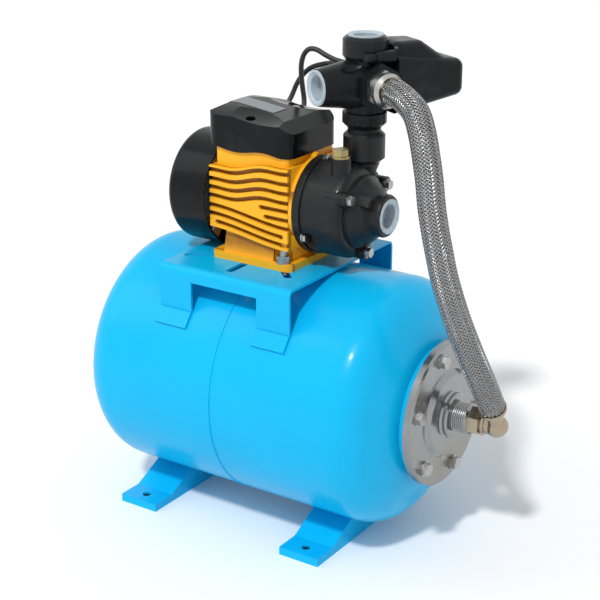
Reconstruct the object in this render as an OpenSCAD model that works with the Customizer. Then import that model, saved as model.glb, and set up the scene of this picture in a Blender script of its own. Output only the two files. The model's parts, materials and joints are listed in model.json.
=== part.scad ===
// Booster pump set: a horizontal membrane tank that carries a self-priming pump,
// a three-way pressure switch and the braided hose between the switch and the tank.
// X runs along the tank towards its flange, Y to the rear, Z up from the floor.

/* [Tank] */
// Outside diameter of the tank
tank_d = 280; // [270:1:290]
// Length of the straight shell between the domes
shell_l = 296; // [288:1:304]
// Depth of each dome
dome_h = 65; // [62:1:70]
// Radius of the knuckle between a dome and the shell
knuckle_r = 40; // [36:1:44]
// Thickness of the shell
shell_t = 1.5; // [1.2:0.1:2.4]
// Height of the tank's underside above the floor
ground_gap = 26; // [24:1:32]

/* [Tank flange] */
// Diameter of the tank's mouth
mouth_d = 112; // [104:1:118]
// Diameter of the counter flange
flange_d = 164; // [160:1:170]
// Thickness of the counter flange's plate
flange_t = 4; // [3:0.5:5]
// Diameter of the flange's bolt circle
flange_pcd = 136; // [132:1:140]
// Number of flange bolts
flange_bolt_n = 6; // [5:1:8]
// Thickness of the membrane's lip and wall
membrane_t = 3; // [2:0.5:4]
// Outside diameter of the one inch pipe thread
pipe_d = 33.2; // [32.8:0.1:33.6]

/* [Feet] */
// Width of each foot
foot_w = 51; // [46:1:58]
// Distance between the two feet
foot_spacing = 228; // [216:1:236]
// Length of each foot across the tank
foot_l = 231; // [226:1:240]
// Distance between the holes of one foot
foot_hole_pitch = 200; // [196:1:204]
// Diameter of the holes in the feet
foot_hole_d = 10; // [8:0.5:12]
// Height of the foot pads
foot_pad_h = 9.5; // [8:0.5:12]
// Sheet thickness of the feet
foot_t = 2.5; // [2:0.1:3.5]

/* [Pump bracket] */
// Length of the bracket along the tank
bracket_l = 174; // [168:1:182]
// Width of the bracket across the tank
bracket_w = 213; // [206:1:218]
// Sheet thickness of the bracket
bracket_t = 3; // [2.5:0.1:4]
// Width of each leg of the bracket
leg_w = 43; // [36:1:50]
// Height of the apron above the cut-out between the legs
apron_h = 16; // [12:1:20]

/* [Motor] */
// Height of the motor shaft above the bracket
shaft_h = 65; // [64:1:70]
// Length of the motor housing
housing_l = 108; // [106:1:116]
// Outside diameter of the housing's barrel
barrel_d = 97; // [95:1:99]
// Outside diameter of the stator
stator_d = 90; // [86:1:91]
// Diameter of the shaft
shaft_d = 12; // [11:0.5:13]
// Width over the cooling fins
fin_span = 111; // [109:1:116]
// Width of the grooves between the fins
groove_w = 5.2; // [4.6:0.2:5.8]
// Diameter of the fan cover
fan_cover_d = 129; // [126:1:132]
// Wall of the covers
cover_t = 2.2; // [1.8:0.1:2.8]

/* [Pump] */
// Diameter of the casing's drum
casing_d = 107; // [105:1:110]
// Length of the casing
casing_l = 57; // [56:1:62]
// Diameter of the impeller
impeller_d = 64; // [58:1:66]
// Thickness of the impeller
impeller_t = 10; // [9:0.5:11]
// Number of vanes on the impeller
vane_n = 24; // [18:1:28]
// Diameter of the discharge boss
discharge_boss_d = 45.6; // [44:0.2:48]
// Diameter of the suction boss
suction_boss_d = 47; // [45:0.5:49]

/* [Pressure switch] */
// Angle of the switch about the discharge
switch_turn = -28; // [-34:1:-22]
// Height of the switch ports above the discharge boss
port_rise = 53; // [51:1:56]
// Reach of the side port from the discharge axis
side_reach = 58; // [54:1:62]
// Length of the switch cover
switch_cover_l = 82; // [78:1:88]
// Width of the switch cover
switch_cover_w = 64; // [62:1:70]

/* [Hose] */
// Outside diameter of the braided hose
hose_d = 29; // [27:0.5:31]
// Diameter of the leads
lead_d = 6; // [5:0.5:7]
// Tilt of the elbow towards the front
elbow_tilt = 28; // [24:1:34]

/* [Hidden] */
$fn = 96;

// Clearances: welded or stacked pieces, press seats, turning fits and loose pieces
weld_gap = 0.2;
seat_gap = 0.02;
run_gap = 0.05;
free_gap = 0.4;
eps = 1;

// Tank stations along X, counted from the girth seam
tank_r = tank_d / 2;
axis_z = ground_gap + tank_r;
half_shell = shell_l / 2;
dome_end = half_shell + dome_h;
crown_r = (dome_h * dome_h + pow(tank_r - knuckle_r, 2) - knuckle_r * knuckle_r)
          / (2 * (dome_h - knuckle_r));
bead_w = 4;
bead_h = 0.9;
mouth_r = mouth_d / 2;
collar_edge = 6.5;
collar_d = flange_pcd + 2 * collar_edge;
rolled_rim_t = 2;
rolled_rim_l = 5;
collar_face = dome_end - 1;
lip_face = collar_face + membrane_t;
flange_face = lip_face + flange_t;
dish_h = 5;
dish_d = 100;
hub_d = 50;
hub_h = 7;
hub_face = flange_face + dish_h + hub_h;
pipe_r = pipe_d / 2;
pipe_bore_r = pipe_r - 4.5;
stub_l = 19;
stub_end = hub_face + stub_l;
flange_bolt_r = 4;
flange_turn = 14;

// Elbow, whose reach closes the part's length at the flange end
elbow_r = 12.5;
elbow_hex = 28;
elbow_hex_l = 13;
elbow_neck_l = 16.5;
elbow_neck_r = 11;
elbow_bore_r = 7;
elbow_x = stub_end + elbow_hex_l + elbow_neck_l;
elbow_leg = 27;
elbow_tail_r = 8.5;
spigot_l = 8;
ferrule_l = 4;
tail_gap = 1;

// Air valve on the rear dome
valve_r = 6;
valve_l = 16;
valve_cap_r = 9;
valve_cap_l = 19;
valve_pin_r = 1.2;

// The origin stands midway between the elbow and the valve cap
rear_reach = dome_end + valve_cap_l + free_gap;
seam_x = (rear_reach - elbow_x - elbow_r) / 2;

// Feet
foot_mid = -13;
foot_pad_l = 31;
foot_crest_y = 36;
foot_crest_z = 33;
foot_hole_r = foot_hole_d / 2;

// Bracket
bracket_mid = -3;
bracket_gap = 2;
bracket_top = axis_z + tank_r + bracket_gap + bracket_t;
bend_r = 8;
tab_l = 12;
tab_root = 7;
tab_lap = 1;
tab_y = bracket_w / 2 + 6.5;
slot_w = 9;
slot_l = 36;
corner_slot_x = [-70, 46];
corner_slot_y = 58;
middle_slot_x = -8;
middle_slot_y = 72;

// Motor stations
motor_z = bracket_top + shaft_h;
housing_rear = -57;
housing_front = housing_rear + housing_l;
barrel_r = barrel_d / 2;
stator_r = stator_d / 2;
rotor_r = 26.6;
stack_l = 50;
stack_x = housing_rear + 29;
coil_l = 11;
shaft_r = shaft_d / 2;
bearing_r = 16;
bearing_t = 10;
rear_bearing_x = housing_rear - 1;
bearing_rim = 3;
fin_end = housing_front - 4;
fin_core = barrel_d + 1;
panel_w = 94;
panel_x0 = housing_rear + 2;
panel_x1 = housing_front - 10;
panel_h = 62;
panel_floor = barrel_r + 2;
panel_wall = 4;
panel_corner = 6;
foot_plate_t = 8;
foot_plate_x0 = housing_rear + 3;
foot_plate_x1 = housing_front + 1;
foot_plate_w = 116;
foot_web_x0 = housing_rear + 17;
foot_web_x1 = housing_front - 8;
foot_web_w = 92;
foot_bolt_x = housing_front - 13;
foot_bolt_y = 50;
foot_bolt_r = 4;
motor_bolt_r = 3;
motor_bolt_pcd_r = casing_d / 2 - 2.5;
motor_boss_r = 6.5;
motor_boss_l = 18;
motor_flange_t = 9;
motor_bolt_a = [0, 120, 240];

// Each groove: height at the rear end, height at the front end, where it starts and stops along
// the fins, and the height of its wave
grooves = [[33, 46, 0, 1, 2], [23, 35, 0, 1, 2], [13.5, 24.5, 0, 1, 2], [4, 14, 0, 1, 2],
           [3, 2.5, 0.66, 1, 0], [-6, -7.5, 0.72, 1, 0],
           [-5, -17, 0, 1, 0], [-14.5, -27, 0, 0.92, 0], [-23.5, -36, 0.09, 1, 0]];
groove_steps = 14;
fin_foot = [-30, -42];
fin_top = [38, 51];
fin_wave = 2;

// Fan end
fan_cover_r = fan_cover_d / 2;
fan_cover_rear = housing_rear - 55;
fan_cover_front = housing_rear - 1.5;
fan_cover_round = 9;
fan_r = fan_cover_r - 14;
fan_x = fan_cover_rear + 12;
fan_t = 22;
fan_blade_n = 9;
grille_n = 20;
grille_w = 3.4;
grille_r = [34, 16];
grille_l = [16, 12];
shield_t = 8;
shield_lug_w = 14;
shield_lug_l = fan_cover_r - cover_t - 1 - barrel_r + 6;
shaft_rear = fan_x - 2;

// Terminal box
box_x0 = panel_x0 - 11;
box_x1 = panel_x1 + 4;
box_w = panel_w + 7;
box_z0 = motor_z + panel_h - 4.5;
box_h_rear = 47.5;
box_h_front = 35.5;
box_corner = 16;
box_crown_r = 150;
box_wave = 4;
box_screw_x = box_x0 + 56;
box_screw_y = box_w / 2 - 9;
pocket_r = 5.5;
pocket_floor = 20;
post_t = 1.8;
scoop_r = 200;
scoop_x = box_x1 - 30;
scoop_y = box_w / 2 + 24.5;
scoop_floor = box_z0 + 33;
gland_x = [box_x0 + 17, box_x0 + 42, box_x0 + 67];
gland_z = box_z0 + 15;
gland_r = 6;
gland_l = 13;

// Pump stations
casing_rear = housing_front;
casing_front = casing_rear + casing_l;
casing_r = casing_d / 2;
casing_round = 11;
cavity_r = impeller_d / 2 + 2.5;
cavity_rear = casing_front - 34;
impeller_x = cavity_rear + 9.5;
hub_r = bearing_r + bearing_rim + 1;
front_bearing_x = casing_rear - bearing_t - 3;
seal_r = 13;
seal_t = 6;
discharge_x = casing_front - 12;
discharge_y = 20;
discharge_top = motor_z + 83;
discharge_boss_h = 28;
discharge_neck_r = 17;
port_r = pipe_r - 1.5;
port_depth = 18;
waterway_r = 11;
priming_x = casing_front - 16;
priming_y = -20;
priming_top = motor_z + 62;
priming_r = 11;
priming_bore_r = 6;
cover_bolt_a = [60, 180, 300];
cover_pcd_r = 45;
cover_lug_r = 8.5;
cover_bolt_r = 3;

// Suction cover
cover_r = 40;
cover_flange_t = 5;
gasket_t = 1;
cover_rear = casing_front + gasket_t;
cover_face = cover_rear + 31;
cone_l = 15;
suction_r = suction_boss_d / 2;
suction_depth = 18;
seat_lip_t = 3;
seat_lip_r = 9;
valve_chamber_l = 14;
valve_stem_r = 2.5;
valve_disc_r = 12;
valve_disc_t = 3;
valve_lift = 6;
guide_t = 3;
chamber_front = cover_face - suction_depth - seat_lip_t;
chamber_rear = chamber_front - valve_chamber_l;

// Pressure switch, in a frame turned about the discharge axis
port_z = discharge_top + port_rise;
union_t = 16;
union_d = 48;
union_z = discharge_top + 6;
union_gap = 0.3;
nipple_top = union_z + union_t - 2;
fitting_r = 28.5;
fitting_mouth_r = 19.8;
fitting_foot_r = 20;
top_port_r = 24.5;
top_port_h = 50;
hose_port_l = 30;
hose_hex = 46;
hose_hex_l = 8;
hex_relief_r = hose_hex / sqrt(3) + free_gap;
mount_plate_v = 22;
mount_plate_t = 5;
cover_v0 = mount_plate_v + mount_plate_t;
plate_w = switch_cover_w - 2 * cover_t - 2;
plate_z0 = -26;
plate_z1 = 26;
plate_corner = 9;
gauge_r = 6.5;
gauge_head_r = gauge_r - 1.2;
gauge_u = 25;
gauge_v = -4;
gauge_z = 31;
gauge_l = 24;
gauge_bore_r = 3.6;
gauge_sink = 1;
diaphragm_r = 19;
diaphragm_t = 2;
base_v = cover_v0 + diaphragm_t;
base_t = 3;
plunger_r = 12;
plunger_t = 4;
stem_r = 3;
guide_v = base_v + 33;
guide_bar_t = 3;
plunger_travel = 1.5;
plunger_v = base_v + free_gap;
spring_v0 = plunger_v + plunger_t + 0.3;
spring_turns = 6;
post_w = 4;
lever_u = 20;
lever_v = base_v + 14;
lever_pin_r = 1.5;
lever_t = 6;
lever_nose_u = 8;
lever_end_v = base_v + 31;
lever_arm_t = 3;
cover_z0 = -32;
cover_z1 = 31;
cover_hump_z = 44;
cover_round = 10;
switch_gland_v = [50, 74];

// Hose fittings at the switch
nipple_hex = 36;
nipple_collar_r = 18.5;
nipple_collar_l = 8;
nipple_tail_r = hose_d / 2 - 3;
nipple_hex_u = hose_port_l + hose_hex_l - 4;
hose_start_u = nipple_hex_u + 24;

// Port plugs
plug_lip_r = pipe_r + 2.4;
plug_lip_t = 2;
plug_r = port_r - free_gap;
plug_depth = 12;
plug_wall = 1.5;
plug_rim = 2;
mouth_step = 0.5;

// Routes of the cords, from the girth seam, with their ends on the fittings
hose_middle = [[168, -19, 509], [187, -30, 500], [200, -40, 484], [210, -48, 462], [217, -53, 441],
               [223, -58, 418], [229, -61, 396], [236, -63, 372], [242, -63, 349], [249, -62, 327],
               [256, -58, 303], [263, -54, 282], [270, -47, 258], [275, -39, 238], [279, -28, 215]];
lead_a_middle = [[-50, 80, 453], [-50, 89, 459], [-48, 95, 468], [-44, 98, 480], [-37, 100, 491],
                 [-27, 102, 500], [-14, 105, 505], [2, 109, 508], [20, 114, 510], [38, 119, 511],
                 [54, 121, 511], [68, 118, 511]];
lead_b_middle = [[-25, 79, 453], [-25, 86, 459], [-26, 89, 468], [-27, 89, 480], [-28, 88, 494],
                 [-28, 87, 508], [-24, 87, 520], [-16, 87, 528], [-4, 88, 529], [8, 90, 523],
                 [20, 93, 517], [33, 96, 513], [47, 97, 511], [60, 94, 512]];
straight_l = 6;
lead_gap = 0.4;
hose_route = concat([for (l = [0, straight_l]) switch_point(hose_start_u + l, 0, 0)], hose_middle,
                    [for (l = [straight_l, 0]) elbow_point(elbow_leg + ferrule_l + l)]);
lead_a_route = concat(gland_start(gland_x[0]), lead_a_middle, gland_end(switch_gland_v[1]));
lead_b_route = concat(gland_start(gland_x[1]), lead_b_middle, gland_end(switch_gland_v[0]));

// Straight first and last steps of the cords, so that their ends stand square on the fittings
function elbow_point(l) = [elbow_x, -sin(elbow_tilt) * l, axis_z + cos(elbow_tilt) * l];
function gland_start(x) =
    [for (l = [0, straight_l]) [x, box_w / 2 + gland_l + lead_gap + l, gland_z]];
function gland_end(v) =
    [for (l = [straight_l, 0]) switch_point(-switch_cover_w / 2 - gland_l - lead_gap - l, v, 0)];

// A point of the switch's own frame, counted from the girth seam
function switch_point(u, v, w) =
    [discharge_x + u * cos(switch_turn) - v * sin(switch_turn),
     discharge_y + u * sin(switch_turn) + v * cos(switch_turn), port_z + w];

// Height of a line along the fins: straight with a wave, or an easy step without one
function along_fins(ends, wave, t) =
    let (ease = wave > 0 ? t : t * t * (3 - 2 * t))
    ends[0] + (ends[1] - ends[0]) * ease + wave * wave_at(t);
function wave_at(t) = cos(540 * t - 350);
function fin_x(t) = housing_rear + (fin_end - housing_rear) * t;

// Frames around the two long axes and the switch
module tank_axis(x) {
    translate([seam_x + x, 0, axis_z]) rotate([0, 90, 0]) children();
}

module motor_axis(x) {
    translate([seam_x + x, 0, motor_z]) rotate([0, 90, 0]) children();
}

module around(x, z, r, angles) {
    for (a = angles)
        translate([seam_x + x, 0, z]) rotate([a, 0, 0]) translate([0, 0, r]) rotate([0, 90, 0])
            children();
}

module switch_frame() {
    translate([seam_x + discharge_x, discharge_y, port_z]) rotate([0, 0, switch_turn]) children();
}

// Side view outline drawn in X and Z, spread over a width in Y
module across(width) {
    translate([seam_x, width / 2, 0]) rotate([90, 0, 0]) linear_extrude(width) children();
}

module rounded_plan(x0, x1, width, r) {
    for (x = [x0 + r, x1 - r], y = [-1, 1])
        translate([x, y * (width / 2 - r)]) circle(r);
    translate([x0 + r, -width / 2]) square([x1 - x0 - 2 * r, width]);
    translate([x0, r - width / 2]) square([x1 - x0, width - 2 * r]);
}

module hex_prism(across_flats, h) {
    cylinder(d = across_flats / cos(30), h = h, $fn = 6);
}

module ring(outer_r, inner_r, h) {
    difference() {
        cylinder(r = outer_r, h = h);
        translate([0, 0, -eps]) cylinder(r = inner_r, h = h + 2 * eps);
    }
}

// Hexagon bolt with its washer; the head stands on z = 0 and the shank goes down
module hex_bolt(r, shank_l) {
    translate([0, 0, -shank_l]) cylinder(r = r, h = shank_l + eps);
    cylinder(r = 2.1 * r, h = 0.4 * r);
    translate([0, 0, 0.4 * r]) hex_prism(3.25 * r, 1.4 * r);
}

// Round tube swept along a route with one ring at each of its points
module swept_tube(route, r, sides) {
    n = len(route);
    steps = [for (i = [0 : n - 1]) route[min(i + 1, n - 1)] - route[max(i - 1, 0)]];
    dirs = [for (s = steps) s / norm(s)];
    up = [0.31, 0.9, 0.3];
    rings = [for (i = [0 : n - 1])
        let (a = cross(dirs[i], up), side = a / norm(a), rise = cross(side, dirs[i]))
        for (k = [0 : sides - 1])
            route[i] + r * (cos(360 * k / sides) * side + sin(360 * k / sides) * rise)];
    walls = [for (i = [0 : n - 2], k = [0 : sides - 1])
        let (a = i * sides + k, b = i * sides + (k + 1) % sides)
        for (f = [[a, a + sides, b + sides], [a, b + sides, b]]) f];
    first_end = [[for (k = [0 : sides - 1]) k]];
    last_end = [[for (k = [sides - 1 : -1 : 0]) (n - 1) * sides + k]];
    polyhedron(rings, concat(walls, first_end, last_end), convexity = 8);
}

function coil(r, length, turns, per_turn) =
    [for (i = [0 : turns * per_turn])
        [r * cos(360 * i / per_turn), r * sin(360 * i / per_turn), length * i / (turns * per_turn)]];

// Half of a drawn tank body: straight shell, knuckle and crown, in radius and length
module dome_section(inset) {
    r = tank_r - inset;
    k = knuckle_r - inset;
    crown = crown_r - inset;
    tangent_r = (tank_r - knuckle_r) * crown / (crown - k);
    translate([0, -inset]) square([r, half_shell + inset]);
    translate([tank_r - knuckle_r, half_shell]) circle(k);
    intersection() {
        translate([0, half_shell + dome_h - crown_r]) circle(crown, $fn = 360);
        translate([0, half_shell - eps]) square([tangent_r, dome_h + eps]);
    }
}

module tank_half(opening_r) {
    rotate_extrude() difference() {
        dome_section(0);
        dome_section(shell_t);
        translate([0, half_shell]) square([opening_r, dome_h + eps]);
    }
}

module tank_rear_shell() {
    color("deepskyblue") translate([seam_x, 0, axis_z]) rotate([0, -90, 0]) {
        tank_half(valve_r);
        ring(tank_r + bead_h, tank_r - shell_t / 2, bead_w);
    }
}

module tank_front_shell() {
    color("deepskyblue") tank_axis(0) tank_half(mouth_r);
}

// Ring welded on the front dome, which takes the flange bolts
module tank_collar() {
    collar_l = 16;
    color("deepskyblue") difference() {
        tank_axis(collar_face - collar_l) ring(collar_d / 2, mouth_r, collar_l);
        tank_axis(dome_end - crown_r) sphere(crown_r + seat_gap, $fn = 200);
        flange_holes(collar_face - collar_l, collar_l);
    }
}

module flange_holes(x, l) {
    around(x - eps, axis_z, flange_pcd / 2, flange_angles())
        cylinder(r = flange_bolt_r + run_gap, h = l + 2 * eps);
}

function flange_angles() = [for (k = [0 : flange_bolt_n - 1]) flange_turn + 360 * k / flange_bolt_n];

// Rubber bag with a neck through the tank's mouth and a lip under the flange
module membrane() {
    bag_r = 95;
    bag_front = dome_end - 28;
    bag_l = 260;
    neck_r = mouth_r - 2;
    color("dimgray") difference() {
        tank_axis(0) rotate_extrude() difference() {
            union() {
                bag_section(bag_r, bag_front, bag_l, 0);
                translate([0, bag_front - 30]) square([neck_r, lip_face - bag_front + 30]);
                translate([0, collar_face]) square([collar_d / 2, membrane_t]);
            }
            bag_section(bag_r, bag_front, bag_l, membrane_t);
            translate([0, bag_front - 40]) square([neck_r - membrane_t, 90]);
        }
        flange_holes(collar_face, membrane_t);
    }
}

module bag_section(r, front, length, inset) {
    intersection() {
        union() {
            for (x = [front - r, front - length + r])
                translate([0, x]) circle(r - inset);
            translate([0, front - length + r]) square([r - inset, length - 2 * r]);
        }
        translate([0, front - length - eps]) square([r + eps, length + 2 * eps]);
    }
}

// Pressed plate with a dished middle, a hub and the threaded stub
module counter_flange() {
    dish_r = dish_d / 2;
    rim = 2;
    color("gainsboro") difference() {
        tank_axis(0) rotate_extrude() polygon([
            [pipe_bore_r, lip_face], [flange_d / 2 - rolled_rim_t, lip_face],
            [flange_d / 2 - rolled_rim_t, lip_face - rolled_rim_l],
            [flange_d / 2, lip_face - rolled_rim_l], [flange_d / 2, flange_face - rim],
            [flange_d / 2 - rim, flange_face], [dish_r, flange_face],
            [dish_r - dish_h, flange_face + dish_h], [hub_d / 2 + rim, flange_face + dish_h],
            [hub_d / 2, flange_face + dish_h + rim], [hub_d / 2, hub_face - rim],
            [hub_d / 2 - rim, hub_face], [pipe_r, hub_face], [pipe_r, stub_end - rim],
            [pipe_r - rim, stub_end], [pipe_bore_r, stub_end]]);
        flange_holes(lip_face, flange_t);
    }
}

// The bolts end just clear of the dome under the collar
module flange_bolts() {
    inner_r = flange_pcd / 2 - flange_bolt_r;
    dome_x = dome_end - crown_r + sqrt(crown_r * crown_r - inner_r * inner_r);
    color("silver") around(flange_face + seat_gap, axis_z, flange_pcd / 2, flange_angles())
        hex_bolt(flange_bolt_r, flange_face - dome_x - 2 * free_gap);
}

module air_valve() {
    color("goldenrod") translate([seam_x - dome_end, 0, axis_z]) rotate([0, -90, 0]) difference() {
        union() {
            translate([0, 0, weld_gap]) cylinder(r = valve_r + 2, h = 3);
            translate([0, 0, -shell_t - 2]) cylinder(r = valve_r - run_gap, h = shell_t + 5);
            cylinder(r = valve_r - 2, h = valve_l);
        }
        translate([0, 0, -10]) cylinder(r = valve_pin_r + run_gap, h = 40);
        translate([0, 0, valve_l - 4]) cylinder(r = 2.6, h = 5);
    }
}

module air_valve_pin() {
    color("silver") translate([seam_x - dome_end, 0, axis_z]) rotate([0, -90, 0])
        translate([0, 0, -2]) cylinder(r = valve_pin_r, h = valve_l);
}

module air_valve_cap() {
    color("black") translate([seam_x - dome_end, 0, axis_z]) rotate([0, -90, 0]) difference() {
        translate([0, 0, 3 + free_gap]) union() {
            cylinder(r = valve_cap_r, h = valve_cap_l - 5);
            cylinder(r = valve_cap_r - 2, h = valve_cap_l - 3);
        }
        cylinder(r = valve_r - 2 + run_gap, h = valve_l + 1);
    }
}

// Pressed sheet foot: pads at both ends, slopes up to the tank and side walls down to the floor
module tank_foot(x) {
    color("deepskyblue") difference() {
        translate([seam_x + x - foot_w / 2, 0, 0]) rotate([90, 0, 90]) linear_extrude(foot_w)
            foot_profile(0);
        translate([seam_x + x - foot_w / 2 + foot_t, 0, 0]) rotate([90, 0, 90])
            linear_extrude(foot_w - 2 * foot_t) foot_profile(foot_t);
        for (y = [-1, 1])
            translate([seam_x + x, y * foot_hole_pitch / 2, -eps])
                cylinder(r = foot_hole_r, h = foot_pad_h + 2 * eps);
    }
}

module foot_profile(inset) {
    end = foot_l / 2 - inset;
    pad = foot_l / 2 - foot_pad_l + inset / 3;
    difference() {
        polygon([[-end, -inset], [-end, foot_pad_h - inset], [-pad, foot_pad_h - inset],
                 [-foot_crest_y, foot_crest_z - inset], [foot_crest_y, foot_crest_z - inset],
                 [pad, foot_pad_h - inset], [end, foot_pad_h - inset], [end, -inset]]);
        translate([0, axis_z]) circle(tank_r + weld_gap + inset, $fn = 360);
    }
}

module rear_foot() {
    tank_foot(foot_mid - foot_spacing / 2);
}

module front_foot() {
    tank_foot(foot_mid + foot_spacing / 2);
}

// Bent sheet bridge over the tank with slotted plate, aprons, legs and welded tabs
module pump_bracket() {
    x0 = bracket_mid - bracket_l / 2;
    color("deepskyblue") difference() {
        translate([seam_x + x0, 0, 0]) rotate([90, 0, 90]) union() {
            linear_extrude(bracket_l) difference() {
                bracket_bend(0);
                bracket_bend(bracket_t);
            }
            for (s = [-1, 1])
                linear_extrude(bracket_l)
                    polygon([for (c = [[-1, 0], [-1, 1], [1, 1], [1, 0]]) bracket_tab(s, c)]);
        }
        tank_axis(-bracket_l) cylinder(r = tank_r + weld_gap, h = 2 * bracket_l);
        translate([seam_x + x0 + leg_w, -bracket_w, 0])
            cube([bracket_l - 2 * leg_w, 2 * bracket_w, bracket_top - apron_h]);
        for (s = [-1, 1]) {
            plate_slot(middle_slot_x, s * middle_slot_y, 90);
            plate_slot(corner_slot_x[0], s * corner_slot_y, s * -45);
            plate_slot(corner_slot_x[1], s * corner_slot_y, s * 45);
        }
    }
}

// Corner of a tab that lies on the shell: along the sheet from the leg out, and through the sheet
function bracket_tab(side, corner) =
    let (a = asin(tab_y / tank_r),
         root = max(tab_l / 2 + tab_root, (tab_y - bracket_w / 2 + tab_lap) / cos(a)),
         along = corner[0] < 0 ? -root : tab_l / 2,
         rise = tank_r + corner[1] * bracket_t)
    [side * (rise * sin(a) + along * cos(a)), axis_z + rise * cos(a) - along * sin(a)];

module bracket_bend(inset) {
    r = bend_r - inset;
    half = bracket_w / 2 - inset;
    leg_z = axis_z + sqrt(tank_r * tank_r - bracket_w * bracket_w / 4);
    top = bracket_top - inset;
    for (s = [-1, 1])
        translate([s * (half - r), top - r]) circle(r);
    translate([r - half, top - bend_r]) square([2 * (half - r), bend_r]);
    translate([-half, leg_z - inset]) square([2 * half, top - r - leg_z + inset]);
}

module plate_slot(x, y, a) {
    translate([seam_x + x, y, bracket_top - bracket_t - eps]) rotate(a) {
        for (s = [-1, 1])
            translate([s * (slot_l - slot_w) / 2, 0, 0]) cylinder(d = slot_w, h = bracket_t + 2 * eps);
        translate([(slot_w - slot_l) / 2, -slot_w / 2, 0])
            cube([slot_l - slot_w, slot_w, bracket_t + 2 * eps]);
    }
}

// Die-cast motor housing: barrel, wavy fins, terminal pedestal and foot
module motor_housing() {
    color("orange") difference() {
        union() {
            motor_axis(housing_rear) cylinder(r = barrel_r, h = housing_l);
            motor_axis(fin_end) cylinder(r = casing_r + 1, h = housing_front - fin_end);
            fin_sides();
            terminal_pedestal();
            motor_foot();
            around(housing_front - motor_boss_l, motor_z, motor_bolt_pcd_r, [motor_bolt_a[0]])
                cylinder(r = motor_boss_r, h = motor_boss_l);
        }
        motor_axis(housing_rear - eps) cylinder(r = stator_r + seat_gap, h = housing_l + 2 * eps);
        translate([seam_x + housing_rear + 20, 0, motor_z]) cylinder(r = 7, h = panel_h);
        around(housing_front - 16, motor_z, motor_bolt_pcd_r, motor_bolt_a)
            cylinder(r = motor_bolt_r + run_gap, h = 20);
        for (s = [-1, 1])
            translate([seam_x + foot_bolt_x, s * foot_bolt_y, bracket_top - eps])
                cylinder(r = foot_bolt_r + 0.5, h = 40);
    }
}

module fin_sides() {
    depth = (fin_span - fin_core) / 2;
    difference() {
        across(fin_span) translate([0, motor_z]) fin_outline();
        for (y = [-fin_core / 2, fin_span / 2 + eps], g = grooves)
            translate([seam_x, y, motor_z]) rotate([90, 0, 0]) linear_extrude(depth + eps)
                groove_outline(g);
    }
}

module fin_outline() {
    steps = [for (i = [0 : groove_steps]) i / groove_steps];
    polygon(concat([for (t = steps) [fin_x(t), along_fins(fin_foot, 0, t)]],
                   [for (i = [groove_steps : -1 : 0])
                       let (t = steps[i]) [fin_x(t), along_fins(fin_top, fin_wave, t)]]));
}

// A groove runs out past an open end of the fins and stops in a round nose at a closed one
module groove_outline(g) {
    first = g[2] == 0 ? -0.05 : g[2];
    last = g[3] == 1 ? 1.05 : g[3];
    half = groove_w / 2;
    line = [for (i = [0 : groove_steps])
        let (t = first + (last - first) * i / groove_steps)
        [fin_x(t), along_fins([g[0], g[1]], g[4], min(max(t, 0), 1))]];
    polygon(concat([for (p = line) p + [0, half]],
                   g[3] < 1 ? groove_nose(line[groove_steps], half) : [],
                   [for (i = [groove_steps : -1 : 0]) line[i] - [0, half]],
                   g[2] > 0 ? groove_nose(line[0], -half) : []));
}

function groove_nose(p, r) = [for (a = [60 : -30 : -60]) p + r * [cos(a), sin(a)]];

// Box under the terminal cover, open at the top
module terminal_pedestal() {
    floor_z = motor_z + panel_floor;
    difference() {
        translate([seam_x, 0, motor_z + 20]) linear_extrude(panel_h - 20)
            rounded_plan(panel_x0, panel_x1, panel_w, panel_corner);
        translate([seam_x, 0, floor_z]) linear_extrude(panel_h)
            rounded_plan(panel_x0 + panel_wall, panel_x1 - panel_wall, panel_w - 2 * panel_wall,
                         panel_corner - panel_wall / 2);
    }
}

// Foot plate with its web up to the barrel and a pocket over each bolt
module motor_foot() {
    plate_l = foot_plate_x1 - foot_plate_x0;
    web_h = motor_z - bracket_top - barrel_r * 0.5;
    difference() {
        union() {
            translate([seam_x, 0, bracket_top]) linear_extrude(foot_plate_t)
                rounded_plan(foot_plate_x0, foot_plate_x1, foot_plate_w, 7);
            translate([seam_x, 0, bracket_top]) rotate([90, 0, 90]) translate([0, 0, foot_web_x0])
                linear_extrude(foot_web_x1 - foot_web_x0)
                    polygon([[-foot_plate_w / 2 + 3, 0], [-foot_web_w / 2, web_h],
                             [foot_web_w / 2, web_h], [foot_plate_w / 2 - 3, 0]]);
        }
        for (s = [-1, 1])
            translate([seam_x + foot_bolt_x, s * foot_bolt_y, bracket_top + foot_plate_t])
                cylinder(r = 12, h = web_h);
        translate([seam_x + foot_web_x0 + 6, -foot_web_w / 2 + 12, bracket_top - eps])
            cube([foot_web_x1 - foot_web_x0 - 30, foot_web_w - 24, web_h - 20]);
    }
}

// Rear bearing shield with the lugs that carry the fan cover
module rear_end_shield() {
    color("dimgray") difference() {
        union() {
            motor_axis(housing_rear - shield_t) cylinder(r = barrel_r - 1, h = shield_t);
            motor_axis(housing_rear - shield_t) cylinder(r = stator_r - 0.3, h = shield_t + 5);
            for (a = [45 : 90 : 315])
                translate([seam_x + housing_rear - shield_t, 0, motor_z]) rotate([a, 0, 0])
                    translate([0, -shield_lug_w / 2, barrel_r - 6])
                        cube([shield_t - 2, shield_lug_w, shield_lug_l]);
            motor_axis(housing_rear) cylinder(r = hub_r, h = bearing_t);
        }
        motor_axis(rear_bearing_x) cylinder(r = bearing_r + seat_gap, h = bearing_t + 3 * eps);
        motor_axis(housing_rear + 1) ring(stator_r - 4, hub_r, 20);
        motor_axis(housing_rear - shield_t - eps) cylinder(r = shaft_r + 1, h = 30);
    }
}

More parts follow.
